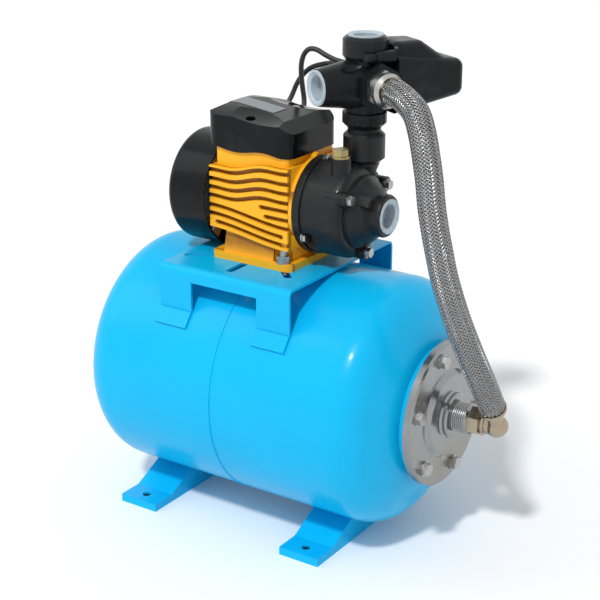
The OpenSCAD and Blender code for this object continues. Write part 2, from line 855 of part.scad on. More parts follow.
// Domed plastic cover with an air grille in its rear wall
module fan_cover() {
    color("black") difference() {
        motor_axis(0) rotate_extrude() difference() {
            fan_cover_section(0);
            fan_cover_section(cover_t);
        }
        for (k = [0 : grille_n - 1], row = [0, 1])
            translate([seam_x + fan_cover_rear - eps, 0, motor_z])
                rotate([360 * (k + row / 2) / grille_n, 0, 0])
                    translate([0, -grille_w / 2, grille_r[row]])
                        cube([cover_t + 2 * eps, grille_w, grille_l[row]]);
    }
}

module fan_cover_section(inset) {
    r = fan_cover_r - inset;
    rear = fan_cover_rear + inset;
    round = fan_cover_round - inset;
    lip = inset > 0 ? eps : 0;
    translate([r - round, rear + round]) circle(round);
    translate([0, rear]) square([r - round, fan_cover_front - rear + lip]);
    translate([0, rear + round]) square([r, fan_cover_front - rear - round + lip]);
}

module stator_core() {
    slot_n = 24;
    color("slategray") difference() {
        motor_axis(stack_x) ring(stator_r, rotor_r + free_gap, stack_l);
        for (k = [0 : slot_n - 1])
            around(stack_x - eps, motor_z, rotor_r + 8, [360 * k / slot_n])
                cylinder(r = 2.4, h = stack_l + 2 * eps);
    }
}

// End turns of the winding, one ring on each face of the stack
module stator_windings() {
    color("chocolate") for (x = [stack_x - coil_l - seat_gap, stack_x + stack_l + seat_gap])
        motor_axis(x) ring(stator_r - 6, rotor_r + 3, coil_l);
}

module rotor_core() {
    color("gray") motor_axis(stack_x) ring(rotor_r, shaft_r + seat_gap, stack_l);
}

module motor_shaft() {
    tip = impeller_x + impeller_t + 2;
    color("silver") difference() {
        motor_axis(shaft_rear) cylinder(r = shaft_r, h = tip - shaft_rear);
        translate([seam_x + impeller_x - 2, shaft_r - 1.5, motor_z - 2]) cube([tip, shaft_r, 4]);
    }
}

module ball_bearing(x) {
    color("lightgray") motor_axis(x) difference() {
        ring(bearing_r, shaft_r + run_gap, bearing_t);
        for (z = [-eps, bearing_t - 0.6])
            translate([0, 0, z]) ring(bearing_r - 3, shaft_r + 3, 0.6 + eps);
    }
}

module front_bearing() {
    ball_bearing(front_bearing_x);
}

module rear_bearing() {
    ball_bearing(rear_bearing_x + eps);
}

module cooling_fan() {
    hub = shaft_r + 5;
    color("whitesmoke") difference() {
        union() {
            motor_axis(fan_x) cylinder(r = hub, h = fan_t);
            motor_axis(fan_x + fan_t - 2) cylinder(r = fan_r - 3, h = 2);
            for (k = [0 : fan_blade_n - 1])
                translate([seam_x + fan_x + 3, 0, motor_z]) rotate([360 * k / fan_blade_n, 0, 0])
                    translate([0, -1.2, hub - 1.5]) cube([fan_t - 4, 2.4, fan_r - hub]);
        }
        motor_axis(fan_x - eps) cylinder(r = shaft_r + seat_gap, h = fan_t + 2 * eps);
    }
}

// Terminal cover: rounded plan, sloping top with a crown and side scoops, wavy lower edge
module terminal_box_cover() {
    color("black") difference() {
        union() {
            difference() {
                box_form(0);
                difference() {
                    box_form(cover_t);
                    box_scoops(cover_t);
                }
            }
            intersection() {
                box_form(0);
                screw_spots(0) cylinder(r = pocket_r + post_t, h = 2 * box_h_rear);
            }
        }
        box_scoops(0);
        motor_axis(fan_cover_rear)
            cylinder(r = fan_cover_r + free_gap, h = fan_cover_front - fan_cover_rear + 1);
        across(box_w + 2 * eps) box_edge();
        translate([seam_x, 0, box_z0 - eps]) linear_extrude(motor_z + panel_h - box_z0 + eps + weld_gap)
            rounded_plan(panel_x0 - weld_gap, panel_x1 + weld_gap, panel_w + 2 * weld_gap, panel_corner);
        screw_spots(pocket_floor) cylinder(r = pocket_r, h = box_h_rear);
        screw_spots(-eps) cylinder(r = 1.6, h = box_h_rear);
        gland_holes();
    }
}

module screw_spots(z) {
    for (s = [-1, 1])
        translate([seam_x + box_screw_x, s * box_screw_y, box_z0 + z]) children();
}

// Shallow dish along each upper edge, round the screw pocket
module box_scoops(grow) {
    for (s = [-1, 1])
        translate([seam_x + scoop_x, s * scoop_y, scoop_floor + scoop_r]) sphere(scoop_r + grow);
}

module box_form(inset) {
    top_rear = box_z0 + box_h_rear - inset;
    top_front = box_z0 + box_h_front - inset;
    intersection() {
        translate([seam_x, 0, box_z0 - inset]) linear_extrude(2 * box_h_rear)
            rounded_plan(box_x0 + inset, box_x1 - inset, box_w - 2 * inset, box_corner - inset);
        across(box_w) polygon([[box_x0, box_z0 - inset], [box_x0, top_rear - 9],
                               [box_x0 + 14, top_rear], [box_x1 - 16, top_front + 2],
                               [box_x1, top_front - 9], [box_x1, box_z0 - inset]]);
        translate([seam_x + box_x0, 0, box_z0 + box_h_rear - box_crown_r]) rotate([0, 90, 0])
            cylinder(r = box_crown_r - inset, h = box_x1 - box_x0);
    }
}

// Wave that the cover's lower edge follows, drawn as the strip that is cut away
module box_edge() {
    n = 20;
    polygon(concat([[box_x0 - eps, box_z0 - 5], [box_x1 + eps, box_z0 - 5]],
                   [for (i = [n : -1 : 0])
                       let (x = box_x0 - eps + (box_x1 - box_x0 + 2 * eps) * i / n,
                            t = (x - housing_rear) / (fin_end - housing_rear))
                       [x, box_z0 + box_wave * (1 + wave_at(t)) / 2]]));
}

module gland_holes() {
    for (x = gland_x)
        translate([seam_x + x, box_w / 2 - 6, gland_z]) rotate([-90, 0, 0])
            cylinder(r = gland_r - 2, h = 12);
}

module cover_screws() {
    color("silver") screw_spots(pocket_floor + seat_gap) {
        cylinder(r = pocket_r - 1.2, h = 2.6);
        translate([0, 0, -14]) cylinder(r = 1.5, h = 15);
    }
}

module terminal_block() {
    color("ivory") difference() {
        translate([seam_x + panel_x0 + 40, -31, motor_z + panel_floor]) cube([40, 22, 12]);
        for (k = [0 : 3])
            translate([seam_x + panel_x0 + 45 + 10 * k, -20, motor_z + panel_floor + 4])
                cylinder(r = 3, h = 10);
    }
}

module run_capacitor() {
    r = 15;
    color("lightgray") translate([seam_x + panel_x0 + 26, r - 1, motor_z + panel_floor + r])
        rotate([0, 90, 0]) {
            cylinder(r = r, h = 56);
            translate([0, 0, -4]) cylinder(r = 5, h = 5);
        }
}

// Cable glands in the rear wall of the terminal cover; the third takes the mains supply
module terminal_glands() {
    color("dimgray") for (x = gland_x)
        translate([seam_x + x, box_w / 2, gland_z]) rotate([-90, 0, 0]) cable_gland();
}

module cable_gland() {
    translate([0, 0, -cover_t - 1]) cylinder(r = gland_r - 2 - run_gap, h = cover_t + 2);
    translate([0, 0, seat_gap]) hex_prism(2 * gland_r, 4);
    translate([0, 0, 3]) cylinder(r = gland_r - 0.6, h = gland_l - 5);
    translate([0, 0, gland_l - 3]) cylinder(r1 = gland_r - 0.6, r2 = lead_d / 2 + 0.8, h = 3);
}

// Bolts with washers and nuts that hold the motor foot to the bracket
module foot_bolts() {
    color("silver") for (s = [-1, 1])
        translate([seam_x + foot_bolt_x, s * foot_bolt_y, bracket_top + foot_plate_t + seat_gap]) {
            cylinder(r = 8.5, h = 1.6);
            translate([0, 0, 1.6]) hex_prism(13, 6.5);
            translate([0, 0, -foot_plate_t - bracket_t - 1]) cylinder(r = foot_bolt_r, h = 26);
            translate([0, 0, -foot_plate_t - bracket_t - 2 * seat_gap - 1.5])
                cylinder(r = 6.5, h = 1.5);
        }
}

module motor_bolts() {
    head_x = casing_rear + motor_flange_t + seat_gap;
    color("silver") around(head_x, motor_z, motor_bolt_pcd_r, motor_bolt_a)
        hex_bolt(motor_bolt_r, motor_flange_t + 14);
}

// Cast pump body: drum, bearing hub, discharge boss and priming boss in one piece
module pump_casing() {
    color("dimgray") difference() {
        union() {
            motor_axis(0) rotate_extrude() casing_section();
            motor_axis(front_bearing_x) cylinder(r = hub_r, h = casing_rear - front_bearing_x + eps);
            motor_axis(casing_rear - 4) ring(stator_r - weld_gap, stator_r - 4, 5);
            around(casing_front - 20, motor_z, cover_pcd_r, cover_bolt_a)
                cylinder(r = cover_lug_r, h = 20);
            discharge_column();
            translate([seam_x + priming_x, priming_y, motor_z + 25])
                cylinder(r = priming_r, h = priming_top - motor_z - 25);
        }
        motor_axis(front_bearing_x - eps) cylinder(r = bearing_r + seat_gap, h = bearing_t + eps);
        motor_axis(front_bearing_x) cylinder(r = shaft_r + 1.5, h = casing_l);
        motor_axis(cavity_rear - seal_t) cylinder(r = seal_r + seat_gap, h = seal_t + eps);
        motor_axis(cavity_rear) cylinder(r = cavity_r, h = casing_front - cavity_rear + eps);
        translate([seam_x + discharge_x, discharge_y, motor_z + 20])
            cylinder(r = waterway_r, h = 80);
        translate([seam_x + discharge_x, discharge_y, discharge_top - port_depth])
            cylinder(r = port_r, h = port_depth + eps);
        translate([seam_x + priming_x, priming_y, motor_z + 20])
            cylinder(r = priming_bore_r, h = 60);
        around(casing_rear + motor_flange_t, motor_z, motor_bolt_pcd_r + 1.5, motor_bolt_a)
            cylinder(r = 8, h = 14);
        around(casing_rear - eps, motor_z, motor_bolt_pcd_r, motor_bolt_a)
            cylinder(r = motor_bolt_r + run_gap, h = motor_flange_t + 2 * eps);
        around(casing_front - 12, motor_z, cover_pcd_r, cover_bolt_a)
            cylinder(r = cover_bolt_r + run_gap, h = 13);
    }
}

// Outline of the drum: a rim at the motor and a rounded shoulder at the front
module casing_section() {
    drum_r = casing_r - 1;
    translate([0, casing_rear]) square([casing_r + 1, motor_flange_t]);
    translate([0, casing_rear]) square([drum_r, casing_l - casing_round]);
    translate([0, casing_rear]) square([drum_r - casing_round, casing_l]);
    translate([drum_r - casing_round, casing_front - casing_round]) circle(casing_round);
}

// Neck and chamfered boss that carry the pressure switch
module discharge_column() {
    chamfer = 3;
    boss_r = discharge_boss_d / 2;
    boss_z = discharge_top - discharge_boss_h;
    root_r = 10;
    root_z = motor_z + 30;
    translate([seam_x + discharge_x, discharge_y, 0]) rotate_extrude() polygon([
        [0, root_z], [root_r, root_z], [discharge_neck_r, root_z + 18], [discharge_neck_r, boss_z - 5],
        [boss_r, boss_z], [boss_r, discharge_top - chamfer], [boss_r - chamfer, discharge_top],
        [0, discharge_top]]);
}

module casing_gasket() {
    color("black") difference() {
        union() {
            motor_axis(casing_front) cylinder(r = cover_r, h = gasket_t);
            around(casing_front, motor_z, cover_pcd_r, cover_bolt_a)
                cylinder(r = cover_lug_r - 0.5, h = gasket_t);
        }
        motor_axis(casing_front - eps) cylinder(r = cavity_r, h = gasket_t + 2 * eps);
        around(casing_front - eps, motor_z, cover_pcd_r, cover_bolt_a)
            cylinder(r = cover_bolt_r + run_gap, h = gasket_t + 2 * eps);
    }
}

// Front cover: bolted flange, cone and suction boss with the valve chamber inside
module suction_cover() {
    color("dimgray") difference() {
        union() {
            motor_axis(0) rotate_extrude() cover_section();
            around(cover_rear, motor_z, cover_pcd_r, cover_bolt_a)
                cylinder(r = cover_lug_r, h = cover_flange_t);
            name_pad();
        }
        motor_axis(cover_face - suction_depth) cylinder(r = port_r, h = suction_depth + eps);
        motor_axis(chamber_front - eps) cylinder(r = seat_lip_r, h = 2 * suction_depth);
        motor_axis(cover_rear - eps) cylinder(r = port_r, h = chamber_front - cover_rear + eps);
        around(cover_rear - eps, motor_z, cover_pcd_r, cover_bolt_a)
            cylinder(r = cover_bolt_r + run_gap, h = cover_flange_t + 2 * eps);
    }
}

module cover_section() {
    cone_x = cover_rear + cover_flange_t;
    lip = 2.5;
    polygon([[0, cover_rear], [cover_r, cover_rear], [cover_r, cone_x - lip], [cover_r - lip, cone_x],
             [suction_r + 5, cone_x + cone_l - 4], [suction_r, cone_x + cone_l],
             [suction_r, cover_face - lip], [suction_r - lip / 2, cover_face], [0, cover_face]]);
}

// Plain cast pad on the cover's shoulder
module name_pad() {
    translate([seam_x + cover_rear + 4, 0, motor_z]) rotate([52, 0, 0])
        translate([0, -6, suction_r - 4]) cube([19, 12, 14]);
}

module cover_bolts() {
    color("silver") around(cover_rear + cover_flange_t + seat_gap, motor_z, cover_pcd_r, cover_bolt_a)
        hex_bolt(cover_bolt_r, cover_flange_t + gasket_t + 10);
}

// Peripheral impeller with vanes cut into both edges of its rim
module impeller() {
    r = impeller_d / 2;
    vane_w = 3.2;
    vane_h = 7;
    color("gold") difference() {
        union() {
            motor_axis(impeller_x) cylinder(r = r, h = impeller_t);
            motor_axis(impeller_x - 2) cylinder(r = shaft_r + 5, h = impeller_t + 4);
        }
        motor_axis(impeller_x - 3) cylinder(r = shaft_r + seat_gap, h = impeller_t + 6);
        for (k = [0 : vane_n - 1], side = [0, 1])
            translate([seam_x + impeller_x + (side == 0 ? -eps : impeller_t / 2 + 1), 0, motor_z])
                rotate([360 * k / vane_n, 0, 0]) translate([0, -vane_w / 2, r - vane_h])
                    cube([impeller_t / 2 + eps - 1, vane_w, vane_h + eps]);
    }
}

module seal_seat() {
    color("ivory") motor_axis(cavity_rear - seal_t) ring(seal_r, shaft_r + 1.5, seal_t);
}

module seal_ring() {
    l = impeller_x - 2 - cavity_rear - 2 * free_gap;
    color("black") motor_axis(cavity_rear + free_gap) {
        ring(seal_r - 2, shaft_r + seat_gap, l);
        ring(seal_r, shaft_r + 2, 3);
    }
}

// Spider in the suction bore that guides the check valve's stem
module check_valve_guide() {
    color("whitesmoke") difference() {
        motor_axis(chamber_rear) union() {
            ring(port_r - seat_gap, port_r - 2.5, guide_t);
            cylinder(r = valve_stem_r + 2, h = guide_t);
            for (a = [0 : 120 : 240])
                rotate(a) translate([0, -1, 0]) cube([port_r - 1, 2, guide_t]);
        }
        motor_axis(chamber_rear - eps) cylinder(r = valve_stem_r + run_gap, h = guide_t + 2 * eps);
    }
}

module check_valve() {
    disc_x = chamber_front - free_gap - valve_disc_t;
    color("white") {
        motor_axis(disc_x) cylinder(r = valve_disc_r, h = valve_disc_t);
        motor_axis(chamber_rear - 2) cylinder(r = valve_stem_r, h = disc_x - chamber_rear + 2 + eps);
    }
}

module check_valve_spring() {
    l = valve_chamber_l - guide_t - free_gap - valve_disc_t - 1.4;
    color("silver") motor_axis(chamber_rear + guide_t + 0.7) swept_tube(coil(5.5, l, 3, 10), 0.5, 6);
}

module priming_plug() {
    color("darkkhaki") translate([seam_x + priming_x, priming_y, priming_top + seat_gap]) {
        cylinder(r = priming_r - 1, h = 2);
        translate([0, 0, 2]) hex_prism(15, 7.5);
        translate([0, 0, -12]) cylinder(r = priming_bore_r - run_gap, h = 13);
    }
}

// Double-ended nipple between the discharge and the switch
module discharge_nipple() {
    color("dimgray") translate([seam_x + discharge_x, discharge_y, 0]) {
        translate([0, 0, discharge_top - port_depth + 2])
            ring(port_r - seat_gap, pipe_bore_r - 1, nipple_top - discharge_top + port_depth - 2);
        translate([0, 0, discharge_top + seat_gap]) ring(pipe_r + 1.5, pipe_bore_r - 1, 5);
    }
}

// Swivel nut on the nipple, chamfered below and with grip flutes
module union_nut() {
    flute_n = 12;
    r = union_d / 2;
    color("dimgray") translate([seam_x + discharge_x, discharge_y, union_z]) difference() {
        rotate_extrude() polygon([[port_r + run_gap, 0], [r - 5, 0], [r, 5], [r, union_t],
                                  [port_r + run_gap, union_t]]);
        for (k = [0 : flute_n - 1])
            rotate(360 * k / flute_n) translate([r + 1.5, 0, -eps])
                cylinder(r = 2.6, h = union_t + 2 * eps);
    }
}

// Four-way body of the switch: foot, tapered side port, hose port, top port and mounting plate
module port_fitting() {
    foot_h = port_z - union_z - union_t - union_gap;
    color("dimgray") switch_frame() difference() {
        union() {
            translate([0, 0, -foot_h]) cylinder(r = fitting_foot_r, h = foot_h);
            rotate([90, 0, 0]) translate([0, 0, -mount_plate_v])
                cylinder(r = fitting_r, h = mount_plate_v + 4);
            rotate([90, 0, 0]) translate([0, 0, 4])
                cylinder(r1 = fitting_r, r2 = fitting_mouth_r, h = side_reach - 4);
            top_port();
            rotate([0, 90, 0]) cylinder(r = hose_hex / 2 - 1.6, h = hose_port_l);
            translate([hose_port_l - 2, 0, 0]) rotate([0, 90, 0])
                hex_prism(hose_hex, hose_hex_l - 2);
            translate([gauge_u, gauge_v, gauge_z]) rotate([-90, 0, 0])
                cylinder(r = gauge_r, h = gauge_l);
            translate([0, cover_v0, 0]) rotate([90, 0, 0]) linear_extrude(mount_plate_t)
                rounded_plan(-plate_w / 2, plate_w / 2, plate_z1 - plate_z0, plate_corner);
        }
        translate([0, 0, -foot_h - eps]) cylinder(r = waterway_r, h = foot_h + top_port_h);
        translate([0, 0, top_port_h - port_depth]) cylinder(r = port_r, h = port_depth + eps);
        rotate([90, 0, 0]) cylinder(r = waterway_r - 0.5, h = side_reach);
        rotate([90, 0, 0]) translate([0, 0, side_reach - port_depth])
            cylinder(r = port_r, h = port_depth + eps);
        rotate([0, 90, 0]) cylinder(r = waterway_r - 1, h = hose_port_l);
        translate([hose_port_l + hose_hex_l - 4 - port_depth, 0, 0]) rotate([0, 90, 0])
            cylinder(r = port_r, h = port_depth + eps);
        translate([gauge_u, gauge_v - eps, gauge_z]) rotate([-90, 0, 0])
            cylinder(r = gauge_bore_r, h = 13);
        translate([gauge_u, gauge_v + gauge_sink, gauge_z]) rotate([90, 0, 0])
            cylinder(r = gauge_head_r + free_gap, h = 16);
        rotate([-90, 0, 0]) cylinder(r = 3, h = 40);
        rotate([-90, 0, 0]) translate([0, 0, cover_v0 - 2]) cylinder(r = diaphragm_r - 5, h = 3);
        side_recess();
    }
}

module top_port() {
    chamfer = 3;
    rotate_extrude() polygon([[0, 0], [top_port_r - 4, 0], [top_port_r - 4, top_port_h - 26],
                              [top_port_r, top_port_h - 20], [top_port_r, top_port_h - chamfer],
                              [top_port_r - chamfer, top_port_h], [0, top_port_h]]);
}

// Leaf-shaped scoop in the upper flank of the side port
module side_recess() {
    depth = 5;
    half_l = 19;
    half_w = 9;
    arc_r = (half_l * half_l + half_w * half_w) / (2 * half_w);
    rotate([90, 0, 0]) rotate(52) translate([fitting_r - depth + half_w - 2, 0, side_reach / 2])
        rotate_extrude() intersection() {
            translate([half_w - arc_r, 0]) circle(arc_r);
            translate([0, -half_l]) square([half_w, 2 * half_l]);
        }
}

module gauge_plug() {
    color("dimgray") switch_frame() translate([gauge_u, gauge_v + gauge_sink - seat_gap, gauge_z])
        rotate([90, 0, 0]) {
            cylinder(r = gauge_head_r, h = 11 + gauge_sink);
            translate([0, 0, -9]) cylinder(r = gauge_bore_r - 0.1, h = 10);
        }
}

module switch_diaphragm() {
    color("black") switch_frame() rotate([-90, 0, 0]) translate([0, 0, cover_v0 + seat_gap])
        cylinder(r = diaphragm_r, h = diaphragm_t - 2 * seat_gap);
}

// Steel base that clamps the diaphragm, with posts and a bar that guide the plunger
module switch_base() {
    w = plate_w - 4;
    z0 = plate_z0 + 4;
    h = plate_z1 - plate_z0 - 8;
    color("lightgray") switch_frame() difference() {
        union() {
            translate([-w / 2, base_v, z0]) cube([w, base_t, h]);
            translate([-w / 2, base_v, -6]) cube([post_w, guide_v - base_v + guide_bar_t, 12]);
            translate([-w / 2, guide_v, -6]) cube([w / 2 + 8, guide_bar_t, 12]);
            translate([lever_u, lever_v, z0]) cylinder(r = lever_pin_r, h = h / 2 + lever_t);
            translate([lever_u - 3, base_v, z0]) cube([6, lever_v - base_v + 3, 3]);
        }
        rotate([-90, 0, 0]) translate([0, 0, base_v - eps])
            cylinder(r = plunger_r + run_gap, h = base_t + 2 * eps);
        rotate([-90, 0, 0]) translate([0, 0, guide_v - eps])
            cylinder(r = stem_r + run_gap, h = guide_bar_t + 2 * eps);
    }
}

module switch_plunger() {
    color("white") switch_frame() rotate([-90, 0, 0]) {
        translate([0, 0, plunger_v]) cylinder(r = plunger_r, h = plunger_t);
        translate([0, 0, plunger_v + plunger_t - eps])
            cylinder(r = stem_r, h = guide_v + guide_bar_t + 4 - plunger_v - plunger_t);
    }
}

module range_spring() {
    color("silver") switch_frame() rotate([-90, 0, 0]) translate([0, 0, spring_v0 + 0.8])
        swept_tube(coil(5.4, guide_v - spring_v0 - 1.9, spring_turns, 10), 0.8, 6);
}

// Rocking lever: its nose follows the plunger and its far end closes the contact
module contact_lever() {
    nose_v = plunger_v + plunger_t + 0.3;
    color("goldenrod") switch_frame() translate([0, 0, -lever_t / 2]) difference() {
        union() {
            translate([lever_u, lever_v, 0]) cylinder(r = 3.2, h = lever_t);
            translate([lever_u - lever_arm_t / 2, lever_v, 0])
                cube([lever_arm_t, lever_end_v - lever_v, lever_t]);
            translate([lever_nose_u, lever_v - lever_arm_t, 0])
                cube([lever_u - lever_nose_u, lever_arm_t, lever_t]);
            translate([lever_nose_u, nose_v + 1.5, 0])
                cube([lever_arm_t, lever_v - nose_v - 1.5, lever_t]);
            translate([lever_nose_u + 1.5, nose_v + 1.5, 0]) cylinder(r = 1.5, h = lever_t);
        }
        translate([lever_u, lever_v, -eps]) cylinder(r = lever_pin_r + run_gap, h = lever_t + 2 * eps);
    }
}

module contact_block() {
    u0 = lever_u + lever_arm_t / 2 + 2.8;
    color("ivory") switch_frame() translate([u0, base_v + base_t + seat_gap, -9]) difference() {
        cube([2.8, lever_end_v - base_v - base_t + 4, 18]);
        for (z = [4, 14])
            translate([-eps, 22, z]) rotate([0, 90, 0]) cylinder(r = 1.6, h = 5);
    }
}

// Moulded cap over the mechanism: rounded box that tapers to its far end, with a hump on top
module switch_cover() {
    color("black") switch_frame() difference() {
        union() {
            hull() switch_cover_corners(0);
            hull() switch_cover_hump();
        }
        hull() switch_cover_corners(cover_t);
        translate([-switch_cover_w, -40, -80])
            cube([2 * switch_cover_w, cover_v0 + 40 - mount_plate_t + 0.6, 160]);
        translate([0, 0, top_port_h - 30]) cylinder(r = top_port_r + free_gap, h = 60);
        translate([0, 0, -60]) cylinder(r = union_d / 2 + free_gap, h = 40);
        translate([hose_port_l - 4, 0, 0]) rotate([0, 90, 0]) cylinder(r = hex_relief_r, h = 30);
        for (v = switch_gland_v)
            translate([-switch_cover_w / 2 - 4, v, 0]) rotate([0, 90, 0])
                cylinder(r = gland_r - 2, h = 12);
    }
}

module switch_cover_corners(inset) {
    r = cover_round - inset;
    v0 = cover_v0 - 8;
    v1 = cover_v0 + switch_cover_l - cover_round;
    root_z = [cover_z0 + cover_round, cover_z1 + 2 - cover_round];
    end_z = [cover_z0 + cover_round + 12, cover_z1 - cover_round - 10];
    for (s = [-1, 1], k = [0, 1]) {
        translate([s * (switch_cover_w / 2 - cover_round), v0, root_z[k]]) sphere(r, $fn = 32);
        translate([s * (switch_cover_w / 2 - cover_round - 3), v1, end_z[k]]) sphere(r, $fn = 32);
    }
}

module switch_cover_hump() {
    r = 12;
    top = cover_hump_z - r;
    root = cover_z1 - r - 2;
    for (s = [-1, 1], p = [[14, 4, top], [12, 28, top - 1], [16, 56, root - 6], [17, 4, root]])
        translate([s * p[0], cover_v0 + p[1], p[2]]) sphere(r, $fn = 32);
}

module switch_glands() {
    color("dimgray") switch_frame() for (v = switch_gland_v)
        translate([-switch_cover_w / 2, v, 0]) rotate([0, -90, 0]) cable_gland();
}

// Steel hexagon nipple with a collar, which carries the hose at the switch
module hose_nipple() {
    collar_z = 7;
    cone_z = collar_z + nipple_collar_l;
    tail_z = hose_start_u - nipple_hex_u - ferrule_l;
    color("silver") switch_frame() translate([nipple_hex_u, 0, 0]) rotate([0, 90, 0]) difference() {
        union() {
            translate([0, 0, seat_gap]) hex_prism(nipple_hex, collar_z);
            translate([0, 0, collar_z]) cylinder(r = nipple_collar_r, h = nipple_collar_l);
            translate([0, 0, cone_z])
                cylinder(r1 = nipple_collar_r, r2 = hose_d / 2 + 1, h = tail_z - cone_z);
            translate([0, 0, tail_z - eps])
                cylinder(r = nipple_tail_r, h = ferrule_l + eps - tail_gap);
            translate([0, 0, 4 - port_depth]) cylinder(r = port_r - seat_gap, h = port_depth);
        }
        translate([0, 0, -40]) cylinder(r = 9, h = 80);
    }
}

// Rings over the two tails that end the hose's braid
module hose_ferrules() {
    color("silver") {
        switch_frame() translate([hose_start_u - ferrule_l, 0, 0]) rotate([0, 90, 0])
            ring(hose_d / 2 + 1, nipple_tail_r + seat_gap, ferrule_l);
        elbow_outlet() translate([0, 0, elbow_leg])
            ring(hose_d / 2 + 1, elbow_tail_r + seat_gap, ferrule_l);
    }
}

module elbow_outlet() {
    translate([seam_x + elbow_x, 0, axis_z]) rotate([elbow_tilt, 0, 0]) children();
}

// Plated elbow, screwed into the flange's stub, from there to the hose
module elbow() {
    neck_x = stub_end + elbow_hex_l;
    color("silver") difference() {
        union() {
            tank_axis(stub_end - spigot_l) cylinder(r = pipe_bore_r - run_gap, h = spigot_l + eps);
            tank_axis(stub_end + seat_gap) hex_prism(elbow_hex, elbow_hex_l);
            tank_axis(neck_x) cylinder(r = elbow_neck_r, h = elbow_neck_l);
            tank_axis(neck_x + 2) cylinder(r = elbow_neck_r + 1.2, h = 3);
            elbow_outlet() sphere(elbow_r);
            elbow_outlet() cylinder(r = elbow_tail_r, h = elbow_leg + ferrule_l - tail_gap);
        }
        tank_axis(stub_end - 2 * spigot_l)
            cylinder(r = elbow_bore_r, h = elbow_x - stub_end + 2 * spigot_l);
        elbow_outlet() sphere(elbow_bore_r + 0.6);
        elbow_outlet() cylinder(r = elbow_bore_r - 1.5, h = 2 * elbow_leg);
    }
}

// Push-in cup that closes a port until a pipe is fitted; the lip rests on z = 0
module port_plug() {
    color("aliceblue") difference() {
        union() {
            translate([0, 0, free_gap]) cylinder(r = plug_lip_r, h = plug_lip_t);
            translate([0, 0, -plug_depth]) cylinder(r = plug_r, h = plug_depth + plug_lip_t);
        }
        translate([0, 0, plug_wall - plug_depth]) cylinder(r = plug_r - plug_wall, h = plug_depth + 5);
        translate([0, 0, free_gap - mouth_step])
            cylinder(r1 = plug_r - plug_wall - 1, r2 = plug_lip_r - plug_rim + 1,
                     h = plug_lip_t + 2 * mouth_step);
    }
}

module suction_plug() {
    motor_axis(cover_face) port_plug();
}

module top_plug() {
    switch_frame() translate([0, 0, top_port_h]) port_plug();
}

module side_plug() {
    switch_frame() rotate([90, 0, 0]) translate([0, 0, side_reach]) port_plug();
}

module leads() {
    color("black") for (route = [lead_a_route, lead_b_route])
        translate([seam_x, 0, 0]) swept_tube(route, lead_d / 2, 8);
}

module flex_hose() {
    color("lightsteelblue") translate([seam_x, 0, 0]) swept_tube(hose_route, hose_d / 2, 12);
}

tank_rear_shell();
tank_front_shell();
tank_collar();
membrane();
counter_flange();
flange_bolts();
air_valve();
air_valve_pin();
air_valve_cap();
rear_foot();
front_foot();
pump_bracket();
motor_housing();
rear_end_shield();
fan_cover();
stator_core();
stator_windings();
rotor_core();
motor_shaft();
front_bearing();
rear_bearing();
cooling_fan();
terminal_box_cover();
cover_screws();
terminal_block();
run_capacitor();
terminal_glands();
foot_bolts();
motor_bolts();
pump_casing();
suction_cover();
cover_bolts();
casing_gasket();
impeller();
seal_seat();
seal_ring();
check_valve_guide();
check_valve();
check_valve_spring();
priming_plug();
discharge_nipple();
union_nut();
port_fitting();
gauge_plug();
switch_diaphragm();
switch_base();
switch_plunger();
range_spring();
contact_lever();
contact_block();
switch_cover();
switch_glands();
hose_nipple();
hose_ferrules();
elbow();
suction_plug();
top_plug();
side_plug();
leads();
flex_hose();
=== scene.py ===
import json
import math

import bpy
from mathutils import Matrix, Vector
from mathutils.bvhtree import BVHTree


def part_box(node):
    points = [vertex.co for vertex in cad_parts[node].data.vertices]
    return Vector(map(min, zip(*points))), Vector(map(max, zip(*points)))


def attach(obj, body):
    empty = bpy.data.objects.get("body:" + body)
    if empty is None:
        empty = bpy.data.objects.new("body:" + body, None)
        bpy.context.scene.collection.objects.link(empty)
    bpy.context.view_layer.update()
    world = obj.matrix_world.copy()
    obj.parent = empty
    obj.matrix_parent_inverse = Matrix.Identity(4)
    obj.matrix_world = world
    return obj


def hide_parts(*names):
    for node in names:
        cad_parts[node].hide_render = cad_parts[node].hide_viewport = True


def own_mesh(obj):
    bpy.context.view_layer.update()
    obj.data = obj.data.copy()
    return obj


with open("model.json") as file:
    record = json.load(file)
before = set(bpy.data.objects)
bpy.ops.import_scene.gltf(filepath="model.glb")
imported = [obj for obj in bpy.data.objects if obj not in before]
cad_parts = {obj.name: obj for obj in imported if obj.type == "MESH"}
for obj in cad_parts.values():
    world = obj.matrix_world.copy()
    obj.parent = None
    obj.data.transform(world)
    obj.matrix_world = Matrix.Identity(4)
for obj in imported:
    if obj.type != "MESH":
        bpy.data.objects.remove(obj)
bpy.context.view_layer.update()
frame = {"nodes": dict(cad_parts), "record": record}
nodes = frame["nodes"]
print("frame loaded:", len(nodes), "CAD nodes")

# Places that the other pieces are worked out from
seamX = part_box("tank_rear_shell")[1].x            # girth seam of the tank
tankZ = sum(c.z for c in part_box("counter_flange")) / 2
motorZ = sum(c.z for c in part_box("rotor_core")) / 2
switchX, switchY = ((a + b) / 2 for a, b in list(zip(*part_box("union_nut")))[:2])
mm = 0.001


# The camera stands where the photograph was taken from
cameraSettings = {
    "eye": (912.5, -1323.2, 847.7),               # millimetres from the girth seam
    "target": (27.7, -2.3, 258.4),
    "lens": 89.76,
    "sensor": 36.0,
    "farthest": 60,                               # metres that the camera sees
}


def fromSeam(point):
    return Vector((seamX + point[0] * mm, point[1] * mm, point[2] * mm))


def addObject(name, data):
    made = bpy.data.objects.new(name, data)
    bpy.context.scene.collection.objects.link(made)
    return made


